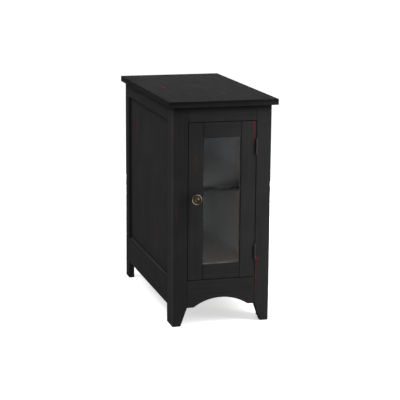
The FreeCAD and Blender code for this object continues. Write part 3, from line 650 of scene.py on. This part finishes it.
# painted shade on the front edge, darkest along its upper arris
front_edge = black_paint("black_top_front_edge", "x", tone=0.7, painted_shades=[("Z", top_high.z, top_low.z, 0.62)])
for direction, finish in ((LEFT, side_edge), (RIGHT, side_edge), (REAR, side_edge), (FRONT, front_edge)):
    recoat(top, direction, finish)
recoat(top, DOWN, BARE_CEILING)
print("top faces:", len(top.data.polygons))

# %% [markdown]
# The face frame is two stiles, a top rail and an apron. Each stile runs down into a foot that tapers on
# its inner side: the cube is cut across at the top of the foot, and the two lower inner corners are moved.
# Moving corners in edit mode keeps the taper one clean slope. The paint isn't the same all round a stile:
# on the left the outer side is lighter with painted light, and it also has red rubs, and the corner's arris
# carries a painted highlight. In the narrow gap round the door the faces are lighter too, which is painted
# light.

# %% Face frame
FOOT_WIDTH = 0.0225
# painted light for the faces in the narrow gap round the door
GAP_LIGHT = black_paint("black_thin_coat", "z", tone=1.7)

apron_low, apron_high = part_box("front_apron")
for side, sign in (("left", -1), ("right", 1)):
    node = "face_frame_%s_stile" % side
    low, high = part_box(node)
    stile = painted_block(node, low, high, "z")
    pick(stile)
    bpy.ops.mesh.bisect(plane_co=(0, 0, apron_low.z), plane_no=(0, 0, 1))
    inner = min(abs(low.x), abs(high.x))
    pick(stile, lambda corner: corner.z < low.z + MM and abs(corner.x) < inner + MM)
    bpy.ops.transform.translate(value=(sign * (high.x - low.x - FOOT_WIDTH), 0, 0))
    bpy.ops.object.mode_set(mode="OBJECT")
    soften(stile)
    settle(stile, "case", "black_paint", node)
    recoat_edge(stile, lambda centre: abs(centre.x) < inner + EDGE_RADIUS, PLAIN_PAINT["z"])
    if side == "left":
        # painted light on the outer side, which also has red rubs, and a painted highlight on its arris
        recoat(stile, LEFT, black_paint("black_corner", "z", tone=1.4, rubs=RUBS[node]))
        recoat_edge(stile, lambda centre: max(centre.x - low.x, centre.y - low.y) < EDGE_RADIUS,
                    black_paint("black_arris", "z", tone=1.9))
    else:
        # painted light in the gap to the right of the door
        recoat(stile, LEFT, GAP_LIGHT)
    print(stile.name, "foot width:", FOOT_WIDTH)

# %% [markdown]
# The rails' tenons are hidden in the stiles, so a visible rail ends at the stiles' inner edges.
# The apron's arch is part of a circle: its radius follows from the arch's width and rise, and a cylinder
# of that radius is taken out of the board before its edges are rounded.

# %% Top rail and arched apron
ARCH_FLAT = 0.0185
ARCH_RISE = 0.024
ARCH_SIDES = 160

opening_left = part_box("face_frame_left_stile")[1].x
opening_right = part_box("face_frame_right_stile")[0].x


def between(low, high, start, end, axis):
    """The same box, cut to a new start and end along one axis."""
    new_low, new_high = low.copy(), high.copy()
    new_low[axis] = start
    new_high[axis] = end
    return new_low, new_high


X, Y, Z = 0, 1, 2
head_low, head_high = between(*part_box("face_frame_top_rail"), opening_left, opening_right, X)
head = board("face_frame_top_rail", head_low, head_high, "x")
recoat_edge(head, lambda centre: centre.z < head_low.z + EDGE_RADIUS, PLAIN_PAINT["x"])

half_arch = (opening_right - opening_left) / 2 - ARCH_FLAT
arch_radius = (half_arch ** 2 + ARCH_RISE ** 2) / (2 * ARCH_RISE)
bpy.ops.object.select_all(action="DESELECT")
bpy.ops.mesh.primitive_cylinder_add(
    vertices=ARCH_SIDES, radius=arch_radius, depth=4 * (apron_high.y - apron_low.y),
    rotation=(math.pi / 2, 0, 0),
    location=(0, (apron_low.y + apron_high.y) / 2, apron_low.z + ARCH_RISE - arch_radius))
arch_cutter = bpy.context.active_object
apron_box = between(apron_low, apron_high, opening_left, opening_right, X)
apron = board("front_apron", *apron_box, "x", cutter=arch_cutter)
recoat_edge(apron, lambda centre: centre.z > apron_high.z - EDGE_RADIUS, PLAIN_PAINT["x"])
print("arch radius:", round(arch_radius, 4))

# %% [markdown]
# Each side is a frame of two stiles and two rails round a thin panel that is set back. The lower rail's ledge
# under the panel faces up and is made lighter, which is painted light. The rear stile has a rabbet for the
# back, and both stiles have a row of holes for the shelf pins, so that the shelf can sit a step higher or
# lower. A rabbet is cut before the edges are rounded, and the holes are drilled after it, so that their rims
# stay crisp. Inside, the boards stay bare, so the faces that look inwards get the bare finish.

# %% Framed sides
# painted light for the ledge, which faces up
LEDGE_LIGHT = black_paint("black_ledge", "y", tone=2.1)
PANEL_MIDDLE = 0.125
RABBET_PLAY = 0.0005
PIN_HOLE_RADIUS = 0.00255
PIN_HOLE_END = 0.128
PIN_HOLE_HEIGHTS = (0.328, 0.360, 0.392)
FRONT_PINS_Y = -0.222
REAR_PINS_Y = 0.257

back_low, back_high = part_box("back_panel")
inner_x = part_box("right_side_rear_stile")[0].x


def back_rabbet(sign):
    """A cutter for the place of the back in one rear stile."""
    outer = back_high.x + RABBET_PLAY
    low = Vector((min(sign * outer, sign * inner_x / 2), back_low.y, back_low.z))
    high = Vector((max(sign * outer, sign * inner_x / 2), 2 * back_high.y, 2 * back_high.z))
    return block("rabbet_cutter", low, high)


for side, inward, sign in (("left", RIGHT, -1), ("right", LEFT, 1)):
    name = side + "_side_"
    front_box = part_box(name + "front_stile")
    rear_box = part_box(name + "rear_stile")
    split_x = sign * PANEL_MIDDLE
    front_stile = board(name + "front_stile", *front_box, "z", split_x=split_x)
    rear_stile = board(name + "rear_stile", *rear_box, "z", split_x=split_x, cutter=back_rabbet(sign))
    for stile, depth in ((front_stile, FRONT_PINS_Y), (rear_stile, REAR_PINS_Y)):
        for height in PIN_HOLE_HEIGHTS:
            start = Vector((sign * (inner_x - PIN_HOLE_RADIUS), depth, height))
            drill(stile, PIN_HOLE_RADIUS, start, Vector((sign * PIN_HOLE_END, depth, height)))
        relight(stile)
    frame_boards = [(front_stile, REAR), (rear_stile, FRONT)]
    for rail, towards_panel in (("top_rail", DOWN), ("bottom_rail", UP)):
        rail_box = between(*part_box(name + rail), front_box[1].y, rear_box[0].y, Y)
        frame_boards.append((board(name + rail, *rail_box, "y", split_x=split_x), towards_panel))
    for piece, towards_panel in frame_boards:
        recoat(piece, inward, BARE_WALL, lambda centre: abs(centre.x) < PANEL_MIDDLE)
        recoat(piece, towards_panel, BARE_WALL, lambda centre: abs(centre.x) < PANEL_MIDDLE)
        recoat_edge(piece, lambda centre: abs(centre.x) < inner_x + EDGE_RADIUS, BARE_WALL)
    recoat(frame_boards[-1][0], UP, LEDGE_LIGHT)
    panel = board(name + "panel", *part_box(name + "panel"), "z")
    recoat(panel, inward, BARE_WALL)
    print(side, "side boards:", len(frame_boards) + 1, "pin holes:", 2 * len(PIN_HOLE_HEIGHTS))

# %% [markdown]
# The cabinet floor, the shelf and the back close the case. The shelf only rests on its pins and can be
# lifted, so it rides on its own body. Its front edge is painted black like the outside, and made darker
# still with painted shade, because the pane casts no shadow on it. The back is nailed on, and each nail's
# head sits flush in a hole that is drilled for it.

# %% Cabinet floor, shelf and back
NAIL_HEAD_RADIUS = 0.00165
NAILS = [(0.123, 0.1963), (0.123, 0.3390), (0.123, 0.4817), (0.060, 0.0815), (0.060, 0.5735)]

cabinet_floor = board("bottom_panel", *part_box("bottom_panel"), "y")
floor_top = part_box("bottom_panel")[1].z
recoat_edge(cabinet_floor, lambda centre: centre.z > floor_top - EDGE_RADIUS, BARE_FLOOR)
recoat(cabinet_floor, UP, BARE_FLOOR)
shelf = board("shelf", shelf_low, shelf_high, "y", body="shelf")
recoat(shelf, UP, BARE_SHELF)
recoat(shelf, DOWN, BARE_UNDERSIDE)
# painted shade on the shelf's front edge behind the pane
recoat(shelf, FRONT, black_paint("black_shelf_edge", "x", tone=0.2))
back_board = board("back_panel", back_low, back_high, "z")
for across, height in NAILS:
    for nail_x in (-across, across):
        start = Vector((nail_x, back_low.y - NAIL_HEAD_RADIUS, height))
        end = Vector((nail_x, back_high.y + NAIL_HEAD_RADIUS, height))
        drill(back_board, NAIL_HEAD_RADIUS, start, end)
relight(back_board)
recoat(back_board, FRONT, BARE_WALL)
for name in ("back_top_rail", "back_bottom_rail"):
    low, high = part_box(name)
    rail = board(name, *between(low, high, -inner_x, inner_x, X), "x")
    recoat_edge(rail, lambda centre: centre.y < low.y + EDGE_RADIUS, BARE_WALL)
    recoat(rail, FRONT, BARE_WALL)

# %% [markdown]
# The door is a frame of two stiles and two rails, rebated at the back for the glass. One block the size of
# the rebate is taken out of all four boards, as a router would run round the assembled frame. Its outline
# has the same coat as its face, and its left edge in the gap is lighter, which is painted light. The lip below
# the pane faces up and is lighter with painted light too, and the lip on the right is stained brown.

# %% Door frame
# painted light on the lip that faces up below the pane
LIP_LIGHT = black_paint("black_lip", "x", tone=3.2)
BROWN_LIP = bare_board("brown_lip", (0.020, 0.0165, 0.013, 1), (0.026, 0.021, 0.017, 1))
SIDE_COATS = {"door_bottom_rail": (UP, LIP_LIGHT), "door_left_stile": (LEFT, GAP_LIGHT),
              "door_right_stile": (LEFT, BROWN_LIP)}
GLASS_PLAY = 0.001
REBATE_REACH = 0.05

glass_low, glass_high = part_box("door_glass")


def rebate_cutter():
    """A block the size of the pane and its play that runs out behind the door."""
    low = glass_low - Vector((GLASS_PLAY, 0, GLASS_PLAY))
    high = glass_high + Vector((GLASS_PLAY, REBATE_REACH, GLASS_PLAY))
    return block("rebate_cutter", low, high)


stile_boxes = {side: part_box("door_%s_stile" % side) for side in ("left", "right")}
door_low, door_high = stile_boxes["left"][0], stile_boxes["right"][1]


def on_door_outline(centre):
    """Whether a place is on the door's outer arrises."""
    from_sides = min(centre.x - door_low.x, door_high.x - centre.x)
    from_ends = min(centre.z - door_low.z, door_high.z - centre.z)
    return min(from_sides, from_ends) < EDGE_RADIUS


door_boxes = {"door_left_stile": stile_boxes["left"], "door_right_stile": stile_boxes["right"]}
for rail in ("door_top_rail", "door_bottom_rail"):
    door_boxes[rail] = between(*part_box(rail), stile_boxes["left"][1].x, stile_boxes["right"][0].x, X)
for node, box in door_boxes.items():
    grain = "z" if "stile" in node else "x"
    piece = board(node, *box, grain, body="door", cutter=rebate_cutter())
    recoat_edge(piece, on_door_outline, PLAIN_PAINT[grain])
    if node in SIDE_COATS:
        recoat(piece, *SIDE_COATS[node])
    print(piece.name, "faces:", len(piece.data.polygons))

# %% [markdown]
# The pane is obscured glass with a fine satin ripple: the shelf's edge close behind it shows sharp, and what
# is far behind runs together into an even grey. Roughness alone would blur both, so a ripple under a
# millimetre deep is added, which bends each ray only a little. Real glass has an index of about 1.5. A lower
# one is set here, because at the real one the pane mirrors so much of the white studio that the shelf's edge
# is washed out. The pane is cut from a block and its edges are ground round. The lamps' shadow rays would stop
# at it, so it casts no shadow and the inside gets its light.

# %% Glass
RIPPLE_SCALE = 900
RIPPLE_DEPTH = 0.0007
GROUND_EDGE = 0.0006
GLASS_TINT = (0.95, 0.985, 1.0, 1)
GLASS_INDEX = 1.135
GLASS_ROUGHNESS = 0.2

satin_glass, shade, surface = new_finish("satin_glass")
place = shade.add("ShaderNodeTexCoord", out="Object")
ripple = noise(shade, place, RIPPLE_SCALE, detail=0)
surface["Base Color"].default_value = GLASS_TINT
surface["Transmission Weight"].default_value = 1.0
surface["IOR"].default_value = GLASS_INDEX
surface["Roughness"].default_value = GLASS_ROUGHNESS
emboss(surface, shade, ripple, 1.0, RIPPLE_DEPTH)

pane = block("door_glass_pane", glass_low, glass_high)
pane.data.materials.append(satin_glass)
soften(pane, GROUND_EDGE, 2)
pane.visible_shadow = False
settle(pane, "door", "glass", "door_glass")
print("pane:", [round(size, 3) for size in pane.dimensions])

# %% [markdown]
# The knob is turned brass: a foot with a bore for its screw, a waisted neck and a dished cup with a raised
# ring inside. Its profile is half of a section, drawn as a chain of extruded points and then spun round the
# knob's own axis, which is just what a lathe does. A level of subdivision rounds the turned profile.

# %% Knob
KNOB_PROFILE = [
    (0.0, 10.0), (1.85, 10.0), (2.05, 9.8), (2.05, 0.2), (2.25, 0.0), (6.8, 0.0), (7.0, 0.2),
    (7.0, 1.3), (6.5, 1.8), (5.0, 2.6), (4.5, 4.2), (4.5, 6.6), (5.3, 8.4), (8.0, 10.6),
    (11.2, 12.9), (13.2, 14.7), (14.0, 16.2), (13.9, 17.3), (13.2, 18.0), (12.3, 18.0), (11.6, 17.4),
    (10.9, 16.1), (9.9, 15.6), (8.0, 15.6), (7.1, 16.0), (6.5, 16.9), (5.5, 17.3), (4.6, 17.0),
    (3.9, 16.2), (2.8, 15.7), (1.4, 15.4), (0.0, 15.3),
]
KNOB_STEPS = 56
SPLINTER = 0.00001

knob_low, knob_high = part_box("door_knob")
knob_axis = Vector(((knob_low.x + knob_high.x) / 2, knob_high.y, (knob_low.z + knob_high.z) / 2))


def turned(name, start, profile, along, steps):
    """Spins a profile of (radius, distance) points in millimetres round an axis that begins at start."""
    out = Vector((0, 0, 1)) if abs(along.z) < 0.5 else Vector((1, 0, 0))
    points = [start + (out * radius + along * far) * MM for radius, far in profile]
    bpy.ops.object.select_all(action="DESELECT")
    bpy.ops.mesh.primitive_plane_add(size=0.01, location=points[0])
    bpy.ops.object.transform_apply(location=True, rotation=True, scale=True)
    piece = bpy.context.active_object
    piece.name = name
    piece.data.name = name
    bpy.ops.object.mode_set(mode="EDIT")
    bpy.ops.mesh.select_all(action="SELECT")
    bpy.ops.mesh.merge(type="CENTER")
    for here, there in zip(points, points[1:]):
        bpy.ops.mesh.extrude_region_move(TRANSFORM_OT_translate={"value": there - here})
    bpy.ops.mesh.select_all(action="SELECT")
    bpy.ops.mesh.spin(steps=steps, angle=2 * math.pi, center=start, axis=along)
    bpy.ops.mesh.select_all(action="SELECT")
    bpy.ops.mesh.remove_doubles(threshold=SPLINTER)
    bpy.ops.mesh.normals_make_consistent(inside=False)
    bpy.ops.object.mode_set(mode="OBJECT")
    bpy.ops.object.shade_smooth()
    return piece


knob = turned("door_knob_turned", knob_axis, KNOB_PROFILE, FRONT, KNOB_STEPS)
apply(knob, "SUBSURF", levels=1, render_levels=1)
settle(knob, "door", "antique_brass", "door_knob")
print("knob size in millimetres:", [round(size / MM, 1) for size in knob.dimensions])

# %% [markdown]
# Antique brass is dark where it is never rubbed and bright on the rims that hands rub. The depth below
# the knob's front tells the two apart, so the patina follows it, broken up by a little noise. Two sides of
# the rim and a spot on the inner ring are brighter still, which are painted highlights. A metal shows what
# it mirrors, here a white studio, so its colours are written darker than the metal's own.

# %% Metals
PATINA = 300


def metal(name, dark, bright, roughness, brightening=None):
    """Metal with a mottled patina. brightening, from 0 to 1, gives its rubbed places and painted highlights.
    """
    material, shade, surface = new_finish(name)
    place = shade.add("ShaderNodeTexCoord", out="Object")
    mottle = noise(shade, place, PATINA, detail=4, roughness=0.6)
    clean_and_highlit = mottle.step(0.35, 0.75)
    if brightening:
        clean_and_highlit = clean_and_highlit * 0.15 + brightening(shade, place) * 0.85
    feed(surface, "Base Color", clean_and_highlit.mix(dark, bright))
    surface["Metallic"].default_value = 1.0
    feed(surface, "Roughness", roughness + 0.2 * (1 - clean_and_highlit))
    emboss(surface, shade, mottle, 0.1, 0.0001)
    return material


# painted highlight: a bright spot on the inner ring
RING_HIGHLIGHT = knob_axis + Vector((0.0035, -0.017, 0.0014))
HIGHLIGHT_END, HIGHLIGHT_FULL = 0.0034, 0.0012
RIM_END, RIM_FULL = 0.0016, 0.0004
SIDE_HIGHLIGHT_START, SIDE_HIGHLIGHT_FULL = 0.004, 0.016


def rim_rub_and_highlights(shade, place):
    """Bright on the rim near the knob's front and dark in the dish, with painted highlights on two sides of
    the rim and on the inner ring.
    """
    rim = axis_of(shade, place, "Y").step(knob_low.y + RIM_END, knob_low.y + RIM_FULL)
    slant = (axis_of(shade, place, "X") - knob_axis.x) + (axis_of(shade, place, "Z") - knob_axis.z)
    # painted highlight on two opposite sides of the rim
    side_highlights = slant.max(0 - slant).step(SIDE_HIGHLIGHT_START, SIDE_HIGHLIGHT_FULL)
    from_ring_highlight = shade.add("ShaderNodeVectorMath", {"operation": "DISTANCE"}, {0: place, 1: RING_HIGHLIGHT},
                          out="Value")
    return (rim * (0.2 + 0.8 * side_highlights)).max(from_ring_highlight.step(HIGHLIGHT_END, HIGHLIGHT_FULL))


BRASS = metal("antique_brass", (0.018, 0.013, 0.0065, 1), (0.16, 0.137, 0.108, 1), 0.2, rim_rub_and_highlights)
knob.data.materials.append(BRASS)
BRONZE = metal("aged_bronze", (0.018, 0.0155, 0.0145, 1), (0.052, 0.046, 0.043, 1), 0.3)
ZINC = metal("zinc_steel", (0.2, 0.2, 0.195, 1), (0.34, 0.34, 0.33, 1), 0.3)
FERRITE = metal("ferrite", (0.03, 0.03, 0.032, 1), (0.07, 0.07, 0.072, 1), 0.55)
print("metals:", BRASS.name, BRONZE.name, ZINC.name, FERRITE.name)

# %% [markdown]
# A screw's head is flat where it is sunk in its plate, and round where it stands proud. Both are turned like
# the knob, from half of a section. Where the screws sit is read from the box round their group: the heads lie
# in one of its faces, spread evenly over it.

# %% Sections and places of the screws


def evenly(low, high, count):
    """Places from low to high, or the middle where there is only one."""
    if count == 1:
        return [(low + high) / 2]
    return [low + (high - low) * step / (count - 1) for step in range(count)]


def head_places(node, into, head_radius, counts, heights=None):
    """The middles of the screws' outer faces, spread over the node's box or at given heights."""
    low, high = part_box(node)
    rows = []
    for axis in (X, Y, Z):
        face = low[axis] if into[axis] > 0 else high[axis]
        across = evenly(low[axis] + head_radius, high[axis] - head_radius, counts[axis])
        rows.append([face] if into[axis] else across)
    return [Vector((x, y, z)) for x in rows[X] for y in rows[Y] for z in heights or rows[Z]]


def screw_profile(head, tall, shank, long, sunk):
    """Half a section: radius and distance from the outer face, in millimetres."""
    flat_head = [(0, 0), (head - 0.1, 0), (head, 0.1)]
    round_head = [(0, 0), (0.5 * head, 0.05 * tall), (0.84 * head, 0.3 * tall), (head, 0.75 * tall),
                  (head, tall)]
    point = [(shank, long - 2 * shank), (0.2 * shank, long), (0, long)]
    return (flat_head if sunk else round_head) + [(shank, tall)] + point


print("points in a round-headed screw's section:", len(screw_profile(3.5, 2.2, 1.75, 20, False)))

# %% [markdown]
# Each screw has a cross recess for the driver. One screw of each group is turned, and two crossed bars are
# taken out of its head. The rest are copies of it, each given another turn, because no one stops all screws
# alike.

# %% Cross-head screws
SCREW_STEPS = 20
RECESS_LENGTH = 0.58
RECESS_WIDTH = 0.15
RECESS_DEPTH = 0.7
TURN_BETWEEN = 0.6

slots = {part["node"]: part["material_slot"] for part in frame["record"]["subparts"]}
SCREW_METALS = {"aged_bronze": BRONZE, "zinc_steel": ZINC}


def cut_recess(piece, place, into, head, tall):
    """Takes two crossed bars out of a screw's head."""
    sideways = RIGHT if into.x == 0 else REAR
    for bar in (sideways, into.cross(sideways)):
        other = into.cross(bar)
        half = Vector([MM * (abs(into[axis]) * RECESS_DEPTH * tall
                             + 2 * head * (abs(bar[axis]) * RECESS_LENGTH / 2
                                           + abs(other[axis]) * RECESS_WIDTH / 2)) for axis in (X, Y, Z)])
        carve(piece, block("recess_cutter", place - half, place + half))


def screws(node, body, into, head, tall, shank, counts=(1, 1, 1), sunk=False, heights=None):
    """A group of screws: the radius and height of the head and the radius of the shank, in millimetres."""
    low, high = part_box(node)
    profile = screw_profile(head, tall, shank, abs((high - low).dot(into)) / MM, sunk)
    places = head_places(node, into, head * MM, counts, heights)
    piece = turned(node + "_cross_head", places[0], profile, into, SCREW_STEPS)
    cut_recess(piece, places[0], into, head, tall)
    pick(piece)
    bpy.ops.mesh.remove_doubles(threshold=SPLINTER)
    bpy.ops.mesh.dissolve_degenerate(threshold=SPLINTER)
    bpy.ops.mesh.select_all(action="SELECT")
    turn_axis = "XYZ"[[abs(part) for part in into].index(1)]
    for here, there in zip(places, places[1:]):
        bpy.ops.mesh.duplicate_move(TRANSFORM_OT_translate={"value": there - here})
        bpy.ops.transform.rotate(value=TURN_BETWEEN, orient_axis=turn_axis, center_override=there)
    bpy.ops.object.mode_set(mode="OBJECT")
    bpy.ops.object.shade_smooth_by_angle(angle=SHARP_ANGLE)
    piece.data.materials.append(SCREW_METALS[slots[node]])
    settle(piece, body, slots[node], node)
    print(node, "screws:", len(places))


print("recess length and width, as shares of the head:", RECESS_LENGTH, RECESS_WIDTH)

# %% [markdown]
# The hinges take flat-headed screws, two in each leaf, a quarter of its height from its ends. Round-headed
# ones hold the catch, the top and the cabinet floor.

# %% All the screws of the table
LEAF_SHARES = (0.25, 0.75)
HINGE_SCREW = (2.5, 1.2, 1.3)
STRIKE_SCREW = (2.5, 1, 1.3)
KNOB_SCREW = (4, 2.4, 2)
ROUND_SCREW = (3.5, 2.2, 1.75)

hinge_heights = []
for hinge in ("lower", "upper"):
    low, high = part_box(hinge + "_hinge_door_leaf")
    hinge_heights += [low.z + (high.z - low.z) * share for share in LEAF_SHARES]
screws("hinge_door_screws", "door", LEFT, *HINGE_SCREW, sunk=True, heights=hinge_heights)
screws("hinge_frame_screws", "case", RIGHT, *HINGE_SCREW, sunk=True, heights=hinge_heights)
screws("knob_screw", "door", FRONT, *KNOB_SCREW)
screws("strike_screw", "door", FRONT, *STRIKE_SCREW, sunk=True)
screws("catch_screws", "case", DOWN, *ROUND_SCREW, counts=(2, 1, 1))
screws("top_screws", "case", UP, *ROUND_SCREW, counts=(2, 3, 1))
screws("bottom_screws", "case", UP, *ROUND_SCREW, counts=(2, 3, 1))

# %% [markdown]
# What is left of the construction keeps its own shape and only gets a finish: the hinges, the nails, the
# shelf pins, the battens, the dowels, the beads behind the glass and the magnetic catch.

# %% Finishes for the construction's own nodes
RINGS, MOULD_GRAIN, MOULD_CLOUDS = 110, 1800, 120


def plain_wood(name, grain, dark, light):
    """Planed wood without paint, with its rings drawn out along the grain."""
    material, shade, surface = new_finish(name)
    place = shade.add("ShaderNodeTexCoord", out="Object")
    drawn = stretched(shade, place, ALONG[grain])
    rings = noise(shade, drawn, RINGS, detail=5, roughness=0.6)
    feed(surface, "Base Color", rings.step(0.3, 0.7).mix(dark, light))
    feed(surface, "Roughness", 0.55 + 0.2 * rings)
    emboss(surface, shade, rings, 0.15, 0.0003)
    return material


def moulded_plastic(name, colour):
    """Plastic with a fine moulded grain and a cloudy colour."""
    material, shade, surface = new_finish(name)
    place = shade.add("ShaderNodeTexCoord", out="Object")
    grain = noise(shade, place, MOULD_GRAIN, detail=2)
    clouds = noise(shade, place, MOULD_CLOUDS)
    feed(surface, "Base Color", clouds.step(0.3, 0.7).mix(toned(colour, 0.7), toned(colour, 1.0)))
    feed(surface, "Roughness", 0.42 + 0.2 * grain)
    emboss(surface, shade, grain, 0.2, 0.0001)
    return material


FINISHES = {
    "pine": plain_wood("pine", "y", (0.42, 0.27, 0.13, 1), (0.62, 0.45, 0.26, 1)),
    "aged_pine": plain_wood("aged_pine", "z", (0.20, 0.175, 0.155, 1), (0.27, 0.235, 0.21, 1)),
    "beech": plain_wood("beech", "y", (0.5, 0.33, 0.19, 1), (0.65, 0.47, 0.31, 1)),
    "aged_bronze": BRONZE,
    "zinc_steel": ZINC,
    "brown_plastic": moulded_plastic("brown_plastic", (0.085, 0.05, 0.032)),
    "ferrite": FERRITE,
}
shown = [name for name, node in frame["nodes"].items() if not node.hide_render]
for name in shown:
    node = frame["nodes"][name]
    node.data.materials.clear()
    node.data.materials.append(FINISHES["aged_pine" if name.startswith("glass_bead") else slots[name]])
print("construction nodes still shown:", len(shown))

# %% [markdown]
# Last, the size of the dressed table is printed.

# %% Finish
low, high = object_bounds()
print("dressed size:", [round(size, 4) for size in high - low])
